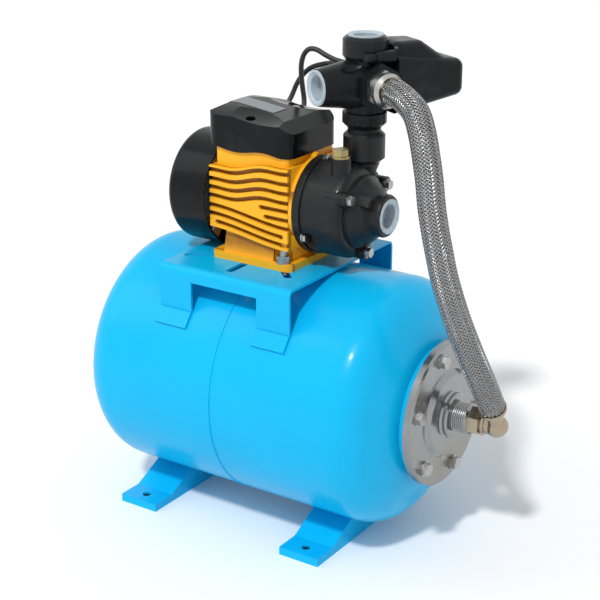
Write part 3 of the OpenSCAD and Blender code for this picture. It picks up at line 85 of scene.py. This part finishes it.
def placeCamera():
    s = cameraSettings
    data = bpy.data.cameras.new("photoCamera")
    data.lens = s["lens"]
    data.sensor_width = s["sensor"]
    data.clip_end = s["farthest"]
    camera = addObject("photoCamera", data)
    eye, target = fromSeam(s["eye"]), fromSeam(s["target"])
    camera.location = eye
    camera.rotation_euler = (target - eye).to_track_quat("-Z", "Y").to_euler()
    bpy.context.scene.camera = camera


placeCamera()
print("camera placed")


# Node arithmetic: a wire is one socket of a net, and an expression on wires adds its Math nodes
class Wire:
    def __init__(self, net, socket):
        self.net = net
        self.socket = socket

    def math(self, operation, other=0.0, swap=False):
        first, second = (other, self) if swap else (self, other)
        return self.net.node("ShaderNodeMath", {"operation": operation}, {0: first, 1: second})

    def __add__(self, other):
        return self.math("ADD", other)

    def __sub__(self, other):
        return self.math("SUBTRACT", other)

    def __mul__(self, other):
        return self.math("MULTIPLY", other)

    def __truediv__(self, other):
        return self.math("DIVIDE", other)

    def __rsub__(self, other):
        return self.math("SUBTRACT", other, swap=True)

    def __rtruediv__(self, other):
        return self.math("DIVIDE", other, swap=True)

    __radd__ = __add__
    __rmul__ = __mul__

    def absolute(self):
        return self.math("ABSOLUTE")

    def sine(self):
        return self.math("SINE")

    def band(self, low, high):                    # smooth step from 0 at low to 1 at high
        return self.net.node("ShaderNodeMapRange", {"interpolation_type": "SMOOTHSTEP"},
                             {"Value": self, "From Min": low, "From Max": high})


class Net:                                        # a node tree while it is wired
    def __init__(self, tree):
        self.tree = tree

    def node(self, kind, settings, sockets, output=0):
        made = self.tree.nodes.new(kind)
        for key, value in settings.items():
            setattr(made, key, value)
        for key, value in sockets.items():
            if isinstance(value, Wire):
                self.tree.links.new(value.socket, made.inputs[key])
            else:
                made.inputs[key].default_value = value
        return Wire(self, made.outputs[output])


class Finish(Net):                                # a material round one Principled shader
    def __init__(self, name, colour, **fixed):
        self.material = bpy.data.materials.new(name)
        self.material.use_nodes = True
        super().__init__(self.material.node_tree)
        self.shader = self.tree.nodes["Principled BSDF"]
        self.shader.inputs["Base Color"].default_value = (*colour, 1)
        for key, value in fixed.items():
            self.shader.inputs[key.replace("_", " ")].default_value = value
        self.material.diffuse_color = (*colour, 1)

    def spot(self):
        return self.node("ShaderNodeTexCoord", {}, {}, "Object")

    def place(self, scale=(1, 1, 1)):
        return self.node("ShaderNodeMapping", {}, {"Vector": self.spot(), "Scale": scale})

    def axis(self, letter):
        return self.node("ShaderNodeSeparateXYZ", {}, {"Vector": self.spot()}, letter)

    def carried(self, name):                      # a value that the piece's mesh carries
        return self.node("ShaderNodeAttribute", {"attribute_name": name}, {}, "Fac")

    def noise(self, scale, detail=3.0, rough=0.55, vector=None):
        return self.node("ShaderNodeTexNoise", {}, {"Vector": vector or self.place(), "Scale": scale,
                                                    "Detail": detail, "Roughness": rough}, "Fac")

    def cells(self, scale):
        return self.node("ShaderNodeTexVoronoi", {}, {"Vector": self.place(), "Scale": scale}, "Distance")

    def blend(self, low, high, factor):           # sockets 6, 7 and 2 are the Mix node's colours
        return self.node("ShaderNodeMix", {"data_type": "RGBA"},
                         {0: factor, 6: self.paint(low), 7: self.paint(high)}, 2)

    def paint(self, colour):
        return colour if isinstance(colour, Wire) else (*colour, 1)

    def feed(self, name, wire):
        self.tree.links.new(wire.socket, self.shader.inputs[name])

    def bump(self, height, strength, distance):
        self.feed("Normal", self.node("ShaderNodeBump", {}, {
            "Height": height, "Strength": strength, "Distance": distance}))


def shade(colour, factor):
    return tuple(c * factor for c in colour)


# Finishes, one function each
def tankPaint():
    blue = (0.003, 0.440, 0.790)
    f = Finish("tankPaint", blue, Roughness=0.22, Specular_IOR_Level=0.12,
               Coat_Weight=0.07, Coat_Roughness=0.04)
    cloud = f.noise(9, 4)
    speck = f.cells(420).band(0.10, 0.03) * f.noise(30).band(0.60, 0.72)
    tone = f.blend(shade(blue, 0.90), shade(blue, 1.08), cloud)
    f.feed("Base Color", f.blend(tone, (0.22, 0.56, 0.75), speck * 0.5))
    f.feed("Roughness", 0.20 + f.noise(35, 5) * 0.12)
    f.bump(f.noise(260, 2) + f.noise(60, 2) * 0.6, 0.10, 0.0006)
    return f.material


def housingPaint():
    amber = (0.93, 0.445, 0.014)
    f = Finish("housingPaint", amber, Roughness=0.30, Specular_IOR_Level=0.25,
               Coat_Weight=0.10, Coat_Roughness=0.10)
    reach = f.axis("Y").absolute()                # painted shade darkens the grooves between the fins' crests and the barrel
    inGroove = reach.band(0.0545, 0.0500) * reach.band(0.0484, 0.0488)
    tone = f.blend(shade(amber, 0.88), shade(amber, 1.06), f.noise(14, 4))
    grooveShade = inGroove * (0.55 + f.noise(60) * 0.4)
    # the dark brown blended into the groove floors is painted shade
    f.feed("Base Color", f.blend(tone, (0.16, 0.045, 0.004), grooveShade))
    f.feed("Roughness", 0.26 + f.noise(80, 4) * 0.16)
    f.bump(f.noise(420, 3) + f.noise(90) * 0.5, 0.14, 0.0006)
    return f.material


def coverPlastic():
    black = (0.0040, 0.0046, 0.0054)
    f = Finish("coverPlastic", black, Roughness=0.22, Specular_IOR_Level=0.14,
               Coat_Weight=0.05, Coat_Roughness=0.06)
    dust = f.noise(22, 6).band(0.52, 0.78)
    f.feed("Base Color", f.blend(black, (0.014, 0.015, 0.017), dust))
    f.feed("Roughness", 0.15 + dust * 0.20 + f.noise(160) * 0.06)
    f.bump(f.noise(900, 2), 0.10, 0.0004)
    return f.material


def switchPlastic():
    charcoal = (0.0060, 0.0070, 0.0085)
    f = Finish("switchPlastic", charcoal, Roughness=0.34, Specular_IOR_Level=0.16)
    dust = f.noise(26, 6).band(0.48, 0.80)
    f.feed("Base Color", f.blend(charcoal, (0.020, 0.022, 0.025), dust))
    f.feed("Roughness", 0.24 + dust * 0.2 + f.noise(300) * 0.08)
    f.bump(f.noise(1300, 2) + f.cells(700) * 0.4, 0.16, 0.0005)
    return f.material


def castBlack():
    black = (0.0080, 0.0088, 0.0095)
    f = Finish("castBlack", black, Roughness=0.40, Specular_IOR_Level=0.25, Coat_Weight=0.05)
    grain = f.noise(330, 4, 0.7)
    wear = f.noise(40, 6).band(0.58, 0.80)
    f.feed("Base Color", f.blend(black, (0.036, 0.037, 0.038), wear * 0.6 + grain.band(0.60, 0.80) * 0.35))
    f.feed("Roughness", 0.26 + grain * 0.26)
    f.bump(grain + f.noise(110, 3) * 0.8, 0.42, 0.0009)
    return f.material


def zincSheet():
    grey = (0.30, 0.31, 0.32)
    f = Finish("zincSheet", grey, Metallic=1.0, Roughness=0.30)
    flake = f.noise(240, 3)
    stain = f.noise(16, 6).band(0.42, 0.75)
    low = f.axis("Z").band(0.17, 0.10)            # browner towards the floor
    tone = f.blend((0.25, 0.27, 0.28), (0.34, 0.355, 0.36), flake)
    f.feed("Base Color", f.blend(tone, (0.27, 0.24, 0.19), stain * 0.35 + low * 0.45))
    f.feed("Roughness", 0.17 + flake * 0.08 + stain * 0.12)
    f.bump(f.noise(500, 3), 0.06, 0.0004)
    return f.material


def zincFastener():
    grey = (0.44, 0.44, 0.44)
    f = Finish("zincFastener", grey, Metallic=1.0, Roughness=0.28)
    mark = f.noise(240, 4)
    f.feed("Base Color", f.blend(shade(grey, 0.78), shade(grey, 1.12), mark))
    f.feed("Roughness", 0.20 + mark * 0.22)
    f.bump(f.noise(1500, 2), 0.10, 0.0003)
    return f.material


def nickelPlate():
    silver = (0.41, 0.345, 0.255)
    f = Finish("nickelPlate", silver, Metallic=1.0, Roughness=0.14)
    haze = f.noise(120, 5)
    f.feed("Base Color", f.blend(shade(silver, 0.84), shade(silver, 1.08), haze))
    f.feed("Roughness", 0.09 + haze * 0.14)
    f.bump(f.noise(700, 2), 0.05, 0.0003)
    return f.material


def braidWire():
    steel = (0.55, 0.555, 0.56)
    f = Finish("braidWire", steel, Metallic=1.0, Roughness=0.26)
    wireCount = 5                                 # side by side in a strand
    wires = (f.carried("across") * (2 * math.pi * wireCount)).sine() * 0.5 + 0.5
    worn = f.noise(150, 4)
    # the dark colour in the gaps between the wires is painted shade; the worn noise is real wear
    f.feed("Base Color", f.blend((0.10, 0.10, 0.105), (0.56, 0.56, 0.56), wires * 0.7 + worn * 0.3))
    f.feed("Roughness", 0.16 + worn * 0.18)
    f.bump(wires, 0.5, 0.0003)
    return f.material


def hoseLiner():
    dark = (0.012, 0.012, 0.013)
    f = Finish("hoseLiner", dark, Roughness=0.6)
    f.feed("Base Color", f.blend(dark, (0.03, 0.03, 0.031), f.noise(200)))
    f.bump(f.noise(600), 0.2, 0.0004)
    return f.material


def dullBrass():
    brass = (0.42, 0.34, 0.14)
    f = Finish("dullBrass", brass, Metallic=1.0, Roughness=0.38)
    tarnish = f.noise(180, 5)
    f.feed("Base Color", f.blend((0.26, 0.22, 0.10), (0.56, 0.47, 0.22), tarnish))
    f.feed("Roughness", 0.28 + tarnish * 0.24)
    f.bump(f.noise(900, 3), 0.14, 0.0004)
    return f.material


def clearCup():
    milk = (0.56, 0.66, 0.73)
    f = Finish("clearCup", milk, Roughness=0.22, Transmission_Weight=0.35, IOR=1.45)
    ring = f.noise(70, 3)
    f.feed("Base Color", f.blend(shade(milk, 0.88), shade(milk, 1.12), ring))
    f.feed("Roughness", 0.16 + ring * 0.16)
    f.bump(f.noise(350, 2), 0.08, 0.0004)
    return f.material


def blackRubber():
    black = (0.010, 0.010, 0.011)
    f = Finish("blackRubber", black, Roughness=0.50)
    f.feed("Base Color", f.blend(black, (0.024, 0.024, 0.025), f.noise(90, 5)))
    f.feed("Roughness", 0.42 + f.noise(220) * 0.2)
    f.bump(f.noise(1200, 2), 0.12, 0.0004)
    return f.material


def plateMetal():
    grey = (0.24, 0.27, 0.29)
    f = Finish("plateMetal", grey, Metallic=0.85, Roughness=0.36)
    brushed = f.noise(1, 4, 0.6, f.place((60, 2600, 60)))
    f.feed("Base Color", f.blend(shade(grey, 0.82), shade(grey, 1.18), brushed))
    f.feed("Roughness", 0.28 + brushed * 0.18)
    f.bump(brushed, 0.10, 0.0002)
    return f.material


def paleMoulding():
    ivory = (0.66, 0.65, 0.60)
    f = Finish("paleMoulding", ivory, Roughness=0.42)
    f.feed("Base Color", f.blend(shade(ivory, 0.90), shade(ivory, 1.06), f.noise(60, 4)))
    f.bump(f.noise(900, 2), 0.10, 0.0004)
    return f.material


def enamelledCopper():
    copper = (0.55, 0.20, 0.075)
    f = Finish("enamelledCopper", copper, Metallic=0.9, Roughness=0.34)
    turns = (f.axis("X") * 5200).sine() * 0.5 + 0.5
    f.feed("Base Color", f.blend(shade(copper, 0.55), shade(copper, 1.1), turns))
    f.bump(turns, 0.5, 0.0004)
    return f.material


def laminatedSteel():
    steel = (0.36, 0.37, 0.38)
    f = Finish("laminatedSteel", steel, Metallic=1.0, Roughness=0.40)
    sheets = (f.axis("X") * 8000).sine() * 0.5 + 0.5
    f.feed("Base Color", f.blend(shade(steel, 0.75), shade(steel, 1.1), sheets * 0.5 + f.noise(90) * 0.5))
    f.bump(sheets, 0.25, 0.0002)
    return f.material


def castAlloy():
    grey = (0.48, 0.48, 0.48)
    f = Finish("castAlloy", grey, Metallic=1.0, Roughness=0.46)
    grain = f.noise(300, 4)
    f.feed("Base Color", f.blend(shade(grey, 0.85), shade(grey, 1.1), grain))
    f.bump(grain, 0.25, 0.0006)
    return f.material


finishes = {make.__name__: make() for make in (
    tankPaint, housingPaint, coverPlastic, switchPlastic, castBlack, zincSheet, zincFastener, nickelPlate,
    braidWire, hoseLiner, dullBrass, clearCup, blackRubber, plateMetal, paleMoulding, enamelledCopper,
    laminatedSteel, castAlloy)}
slotFinish = {
    "tank_paint": "tankPaint", "motor_paint": "housingPaint", "black_plastic": "coverPlastic",
    "casting": "castBlack", "zinc_steel": "zincFastener", "plated": "nickelPlate", "brass": "dullBrass",
    "rubber": "blackRubber", "clear_plastic": "clearCup", "white_plastic": "paleMoulding",
    "copper_wire": "enamelledCopper", "steel_core": "laminatedSteel", "aluminium": "castAlloy",
    "braid": "braidWire",
}
nodeFinish = {
    "counter_flange": "zincSheet", "port_fitting": "switchPlastic", "switch_cover": "switchPlastic",
    "union_nut": "switchPlastic", "discharge_nipple": "switchPlastic", "gauge_plug": "switchPlastic",
    "hose_nipple": "zincFastener",
}
for row in frame["record"]["subparts"]:
    name = nodeFinish.get(row["node"], slotFinish[row["material_slot"]])
    nodes[row["node"]].data.materials.clear()
    nodes[row["node"]].data.materials.append(finishes[name])
print("finishes made:", len(finishes))


# Lines: a smooth one through a route, and frames that don't twist along it
def smoothLine(points, step):
    line = []
    ends = [points[0] * 2 - points[1], *points, points[-1] * 2 - points[-2]]
    for a, b, c, d in zip(ends, ends[1:], ends[2:], ends[3:]):
        count = max(2, round((c - b).length / step))
        for i in range(count):
            t = i / count
            line.append(((b * 2) + (c - a) * t + (a * 2 - b * 5 + c * 4 - d) * t * t
                         + (b * 3 - a - c * 3 + d) * t ** 3) / 2)
    return [*line, points[-1].copy()]


def lineFrames(line):
    frames = []
    side = Vector((0.31, 0.9, 0.3))
    for i, point in enumerate(line):
        along = (line[min(i + 1, len(line) - 1)] - line[max(i - 1, 0)]).normalized()
        side = (side - along * side.dot(along)).normalized()
        frames.append((point, side, along.cross(side)))
    return frames


def runLengths(line):
    lengths = [0.0]
    for a, b in zip(line, line[1:]):
        lengths.append(lengths[-1] + (b - a).length)
    return lengths


def lineLength(line):
    return runLengths(line)[-1]


socketKinds = {float: "NodeSocketFloat", int: "NodeSocketInt"}


class Shape(Net):                                 # a geometry tree with its sizes as named inputs
    def __init__(self, name, **sizes):
        super().__init__(bpy.data.node_groups.new(name, "GeometryNodeTree"))
        self.sizes = sizes
        self.tree.interface.new_socket("Geometry", in_out="INPUT", socket_type="NodeSocketGeometry")
        for label, value in sizes.items():
            self.tree.interface.new_socket(label, in_out="INPUT", socket_type=socketKinds[type(value)])
        self.tree.interface.new_socket("Geometry", in_out="OUTPUT", socket_type="NodeSocketGeometry")
        self.entry = self.tree.nodes.new("NodeGroupInput")

    def given(self, label):
        return Wire(self, self.entry.outputs[label])

    def stored(self, label, kind):
        return self.node("GeometryNodeInputNamedAttribute", {"data_type": kind}, {"Name": label})

    def sweep(self, curve, profile):
        return self.node("GeometryNodeCurveToMesh", {}, {
            "Curve": curve, "Profile Curve": profile, "Fill Caps": True})

    def circle(self, sides, radius):
        return self.node("GeometryNodeCurvePrimitiveCircle", {}, {"Resolution": sides, "Radius": radius})

    def end(self, geometry, *coats):              # each coat is a finish and the faces that take it
        geometry = self.node("GeometryNodeRealizeInstances", {}, {"Geometry": geometry})
        for finish, faces in coats:
            geometry = self.node("GeometryNodeSetMaterial", {}, {
                "Geometry": geometry, "Selection": faces, "Material": finishes[finish]})
        self.tree.links.new(geometry.socket, self.tree.nodes.new("NodeGroupOutput").inputs[0])

    def bake(self, name, mesh):                   # the finished piece as a plain mesh
        made = addObject(name, mesh)
        modifier = made.modifiers.new("shape", "NODES")
        modifier.node_group = self.tree
        for item in self.tree.interface.items_tree:
            if item.in_out == "INPUT" and item.name in self.sizes:
                modifier[item.identifier] = self.sizes[item.name]
        plain = bpy.data.meshes.new_from_object(made.evaluated_get(bpy.context.evaluated_depsgraph_get()))
        plain.polygons.foreach_set("use_smooth", [True] * len(plain.polygons))
        made.modifiers.clear()
        made.data = plain
        return made


# The braided hose from the switch to the tank
hoseSettings = {
    "diameter": 29 * mm,
    "liner": 13.4 * mm,                           # radius of the rubber under the braid
    "strands": 20,                                # in each direction
    "advance": 74 * mm,                           # of one turn of a strand
    "strandWidth": 2.35 * mm,
    "strandDepth": 0.7 * mm,
    "weave": 0.30 * mm,                           # how far a strand rises and dips
    "samples": 6,                                 # for each rise and dip
    "plateau": 1.6,                               # flattens the rises and dips
    "linerSides": 24,
    "route": [(168, -19, 509), (187, -30, 500), (200, -40, 484), (210, -48, 462), (217, -53, 441),
              (223, -58, 418), (229, -61, 396), (236, -63, 372), (242, -63, 349), (249, -62, 327),
              (256, -58, 303), (263, -54, 282), (270, -47, 258), (275, -39, 238), (279, -28, 215)],
    "switchEnd": 58,                              # along the hose port from the discharge axis
    "straight": 6,                                # first and last step, square to the fittings
    "elbowTilt": 28,
    "elbowEnd": 31,
    "elbowRadius": 12.5,
}
switchSettings = {
    "portHeight": 512,
    "turn": -28,
}


def switchPoint(u, v):                            # in the switch's own frame, at the height of its ports
    turn = math.radians(switchSettings["turn"])
    return Vector((switchX + (u * math.cos(turn) - v * math.sin(turn)) * mm,
                   switchY + (u * math.sin(turn) + v * math.cos(turn)) * mm,
                   switchSettings["portHeight"] * mm))


def elbowPoint(reach):
    tilt = math.radians(hoseSettings["elbowTilt"])
    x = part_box("elbow")[1].x - hoseSettings["elbowRadius"] * mm
    return Vector((x, -reach * mm * math.sin(tilt), tankZ + reach * mm * math.cos(tilt)))


def hoseLines(frames, lengths, period):           # strands and liner, each point with its outward direction
    s = hoseSettings
    points, edges, outward, isLiner = [], [], [], []

    def addLine(line, directions, liner):
        edges.extend((len(points) + i, len(points) + i + 1) for i in range(len(line) - 1))
        points.extend(line)
        outward.extend(c for d in directions for c in d)
        isLiner.extend([liner] * len(line))

    middle = s["diameter"] / 2 - s["strandDepth"] / 2 - s["weave"]
    for way in (1, -1):
        for k in range(s["strands"]):
            line, directions = [], []
            for (point, side, rise), run in zip(frames, lengths):
                turn = 2 * math.pi * (way * run / s["advance"] + k / s["strands"])
                phase = math.pi * k + (math.pi / 2 if way < 0 else 0)
                wave = s["plateau"] * math.sin(2 * math.pi * run / period + phase)
                out = side * math.cos(turn) + rise * math.sin(turn)
                line.append(point + out * (middle + way * s["weave"] * max(-1.0, min(1.0, wave))))
                directions.append(out)
            addLine(line, directions, False)
    sparse = frames[::3] + frames[-1:]
    addLine([f[0] for f in sparse], [f[1] for f in sparse], True)
    mesh = bpy.data.meshes.new("hoseLines")
    mesh.from_pydata(points, edges, [])
    mesh.attributes.new("outward", "FLOAT_VECTOR", "POINT").data.foreach_set("vector", outward)
    mesh.attributes.new("isLiner", "BOOLEAN", "POINT").data.foreach_set("value", isLiner)
    return mesh


def braidShape():
    s = hoseSettings
    shape = Shape("braid", strandWidth=s["strandWidth"], strandDepth=s["strandDepth"],
                  linerRadius=s["liner"], linerSides=s["linerSides"])
    width = shape.given("strandWidth")
    onLiner = shape.stored("isLiner", "BOOLEAN")
    kinds = shape.node("GeometryNodeSeparateGeometry", {"domain": "POINT"},
                       {"Geometry": shape.given("Geometry"), "Selection": onLiner})
    others = Wire(shape, kinds.socket.node.outputs["Inverted"])
    strands = shape.node("GeometryNodeSetCurveNormal", {"mode": "FREE"}, {
        "Curve": shape.node("GeometryNodeMeshToCurve", {}, {"Mesh": others}),
        "Normal": shape.stored("outward", "FLOAT_VECTOR")})
    size = shape.node("ShaderNodeCombineXYZ", {}, {"X": shape.given("strandDepth"), "Y": width, "Z": 1.0})
    flat = shape.node("GeometryNodeTransform", {}, {"Geometry": shape.circle(4, 0.5), "Scale": size})
    spot = shape.node("GeometryNodeInputPosition", {}, {})
    across = shape.node("ShaderNodeSeparateXYZ", {}, {"Vector": spot}, "Y") / width + 0.5
    flat = shape.node("GeometryNodeStoreNamedAttribute", {"data_type": "FLOAT", "domain": "POINT"},
                      {"Geometry": flat, "Name": "across", "Value": across})
    liner = shape.sweep(shape.node("GeometryNodeMeshToCurve", {}, {"Mesh": kinds}),
                        shape.circle(shape.given("linerSides"), shape.given("linerRadius")))
    both = shape.node("GeometryNodeJoinGeometry", {}, {"Geometry": liner})
    shape.tree.links.new(shape.sweep(strands, flat).socket, both.socket.node.inputs["Geometry"])
    shape.end(both, ("braidWire", True), ("hoseLiner", onLiner))
    return shape


def makeHose():
    s = hoseSettings
    route = [switchPoint(s["switchEnd"], 0), switchPoint(s["switchEnd"] + s["straight"], 0),
             *map(fromSeam, s["route"]), elbowPoint(s["elbowEnd"] + s["straight"]), elbowPoint(s["elbowEnd"])]
    period = 2 * s["advance"] / s["strands"]      # two over, two under
    line = smoothLine(route, period / s["samples"])
    hose = braidShape().bake("braidedHose", hoseLines(lineFrames(line), runLengths(line), period))
    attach(hose, "set")
    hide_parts("flex_hose")
    lineLength(line)
    [tuple(p) for p in line[::3] + line[-1:]]


# The two leads from the terminal cover to the switch
leadSettings = {
    "diameter": 6 * mm,
    "sides": 14,
    "step": 3 * mm,                               # between points of the line
    "boxGlandX": (-49, -24),
    "boxGlandEnd": 63.9,                          # across the set, where the box glands stop
    "boxGlandZ": 448.5,
    "switchGlandV": (74, 50),
    "switchGlandEnd": 45.4,
    "straight": 6,
    "routes": (
        [(-50, 80, 453), (-50, 89, 459), (-48, 95, 468), (-44, 98, 480), (-37, 100, 491), (-27, 102, 500),
         (-14, 105, 505), (2, 109, 508), (20, 114, 510), (38, 119, 511), (54, 121, 511), (68, 118, 511)],
        [(-25, 79, 453), (-26, 86, 459), (-28, 89, 468), (-30, 89, 480), (-31, 88, 494), (-30, 87, 508),
         (-26, 87, 519), (-19, 87, 525), (-10, 88, 525), (0, 90, 520), (12, 93, 515), (28, 96, 512),
         (45, 97, 511), (60, 94, 512)],
    ),
}


def leadShape():
    s = leadSettings
    shape = Shape("lead", radius=s["diameter"] / 2, sides=s["sides"])
    line = shape.node("GeometryNodeMeshToCurve", {}, {"Mesh": shape.given("Geometry")})
    section = shape.circle(shape.given("sides"), shape.given("radius"))
    shape.end(shape.sweep(line, section), ("blackRubber", True))
    return shape


def makeLeads():
    s = leadSettings
    shape = leadShape()
    names = "motorLead", "switchLead"
    for name, x, v, route in zip(names, s["boxGlandX"], s["switchGlandV"], s["routes"]):
        start = [fromSeam((x, s["boxGlandEnd"] + reach, s["boxGlandZ"])) for reach in (0, s["straight"])]
        end = [switchPoint(-s["switchGlandEnd"] - reach, v) for reach in (s["straight"], 0)]
        line = smoothLine([*start, *map(fromSeam, route), *end], s["step"])
        mesh = bpy.data.meshes.new(name)
        mesh.from_pydata(line, [(i, i + 1) for i in range(len(line) - 1)], [])
        lead = shape.bake(name, mesh)
        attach(lead, "set")
        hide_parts("leads")
        lineLength(line)


makeHose()
makeLeads()
print("hose and leads made")


# Coils: the thread of the tank's stub, and two springs
coilSettings = {
    "stubThread": {"start": 232.0, "length": 17.0, "radius": 16.5, "turns": 7.4, "wire": 0.95, "sides": 4},
    "checkSpring": {"radius": 5.5, "turns": 3.0, "wire": 0.5, "sides": 8, "keep": 0.17},
    "rangeSpring": {"start": 34.5, "length": 26.4, "radius": 5.4, "turns": 6.0, "wire": 0.8, "sides": 8,
                    "keep": 0.94},
}
pointsPerTurn = 48


def makeCoil(name, start, direction, length):
    s = coilSettings[name]
    shape = Shape(name, radius=s["radius"] * mm, length=length, turns=s["turns"],
                  wire=s["wire"] * mm, sides=s["sides"])
    radius = shape.given("radius")
    line = shape.node("GeometryNodeCurveSpiral", {}, {
        "Resolution": pointsPerTurn, "Rotations": shape.given("turns"), "Start Radius": radius,
        "End Radius": radius, "Height": shape.given("length")})
    section = shape.circle(shape.given("sides"), shape.given("wire"))
    wound = shape.node("GeometryNodeTransform", {}, {
        "Geometry": shape.sweep(line, section), "Translation": tuple(start),
        "Rotation": tuple(direction.to_track_quat("Z", "Y").to_euler())})
    shape.end(wound, ("zincFastener", True))
    coil = shape.bake(name, bpy.data.meshes.new(name))
    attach(coil, "set")
    return coil


def makeCoils():
    along = Vector((1, 0, 0))
    s = coilSettings["stubThread"]
    makeCoil("stubThread", Vector((seamX + s["start"] * mm, 0, tankZ)), along, s["length"] * mm)
    s = coilSettings["checkSpring"]
    low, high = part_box("check_valve_spring")
    length = high.x - low.x - 2 * s["wire"] * mm
    start = Vector((low.x + s["wire"] * mm, 0, motorZ))
    spring = makeCoil("checkSpring", start, along, length)
    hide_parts("check_valve_spring")
    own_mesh(spring)
    s = coilSettings["rangeSpring"]
    start, end = (switchPoint(0, s["start"] + reach) for reach in (0, s["length"]))
    spring = makeCoil("rangeSpring", start, end - start, s["length"] * mm)
    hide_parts("range_spring")
    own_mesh(spring)


# Bare rating plate that lies on the terminal cover
plateSettings = {
    "middle": (-27, -6),
    "size": (62, 25),
    "steps": (16, 8),
    "proud": 0.7,                                 # above the cover
    "sunk": 0.3,                                  # into it
    "above": 600,                                 # height that the rays start from
}


def makePlate():
    s = plateSettings
    cover = nodes["terminal_box_cover"].data
    surface = BVHTree.FromPolygons([v.co for v in cover.vertices], [p.vertices for p in cover.polygons])
    cols, rows = s["steps"]
    lower = []
    for j in range(rows + 1):
        y = s["middle"][1] + s["size"][1] * (j / rows - 0.5)
        for i in range(cols + 1):
            x = s["middle"][0] + s["size"][0] * (i / cols - 0.5)
            lower.append(surface.ray_cast(fromSeam((x, y, s["above"])), Vector((0, 0, -1)))[0])
    count, wide = len(lower), cols + 1
    points = [p + Vector((0, 0, rise * mm)) for rise in (-s["sunk"], s["proud"]) for p in lower]
    faces = []
    for j in range(rows):
        for i in range(cols):
            a = j * wide + i
            faces.append((a, a + wide, a + wide + 1, a + 1))
            faces.append((count + a, count + a + 1, count + a + wide + 1, count + a + wide))
    rim = [*range(cols), *range(cols, count - 1, wide), *range(count - 1, count - 1 - cols, -1),
           *range(count - wide, 0, -wide)]
    for a, b in zip(rim, rim[1:] + rim[:1]):
        faces.append((a, b, count + b, count + a))
    mesh = bpy.data.meshes.new("ratingPlate")
    mesh.from_pydata(points, [], faces)
    mesh.materials.append(finishes["plateMetal"])
    plate = addObject("ratingPlate", mesh)
    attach(plate, "set")


makeCoils()
makePlate()
print("coils and plate made")


# Floor, light and backdrop
studioSettings = {
    "floorSize": 40.0,
    "floorColour": (0.93, 0.93, 0.93),
    "sunStrength": 1.9,
    "sunAngle": 5,
    "sunFrom": (0.20, -1.20, 1.55),
    "skyStrength": 0.62,
    "windowStrength": 6,
    "windowSize": (0.9, 1.5),
    "windowFrom": (-1.5, -1.0, 1.5),
    "windowTo": (0, 0, 0.25),
}


def makeFloor():
    s = studioSettings
    half = s["floorSize"] / 2
    corners = [(-half, -half, 0), (half, -half, 0), (half, half, 0), (-half, half, 0)]
    mesh = bpy.data.meshes.new("studioFloor")
    mesh.from_pydata(corners, [], [(0, 1, 2, 3)])
    mesh.materials.append(Finish("floorPaint", s["floorColour"], Roughness=0.9).material)
    floor = addObject("studioFloor", mesh)


def makeLamps():
    s = studioSettings
    sun = bpy.data.lights.new("sun", "SUN")
    sun.energy = s["sunStrength"]
    sun.angle = math.radians(s["sunAngle"])
    addObject("sun", sun).rotation_euler = Vector(s["sunFrom"]).to_track_quat("Z", "Y").to_euler()
    window = bpy.data.lights.new("window", "AREA")
    window.shape = "RECTANGLE"
    window.size, window.size_y = s["windowSize"]
    window.energy = s["windowStrength"]
    lamp = addObject("window", window)
    lamp.location = s["windowFrom"]
    lamp.rotation_euler = (lamp.location - Vector(s["windowTo"])).to_track_quat("Z", "Y").to_euler()


def makeSky():                                    # white where it is seen, and a soft light elsewhere
    world = bpy.data.worlds.new("studioWorld")
    bpy.context.scene.world = world
    world.use_nodes = True
    net = Net(world.node_tree)
    net.tree.nodes.clear()
    camera, glossy, through = (net.node("ShaderNodeLightPath", {}, {}, f"Is {kind} Ray")
                               for kind in ("Camera", "Glossy", "Transmission"))
    seen = camera.math("MAXIMUM", glossy).math("MAXIMUM", through)
    level = net.node("ShaderNodeMapRange", {}, {"Value": seen, "To Min": studioSettings["skyStrength"]})
    sky = net.node("ShaderNodeBackground", {}, {"Color": (1, 1, 1, 1), "Strength": level})
    net.tree.links.new(sky.socket, net.tree.nodes.new("ShaderNodeOutputWorld").inputs["Surface"])


makeFloor()
makeLamps()
makeSky()
bpy.context.scene.view_settings.view_transform = "Standard"
print("studio lit")
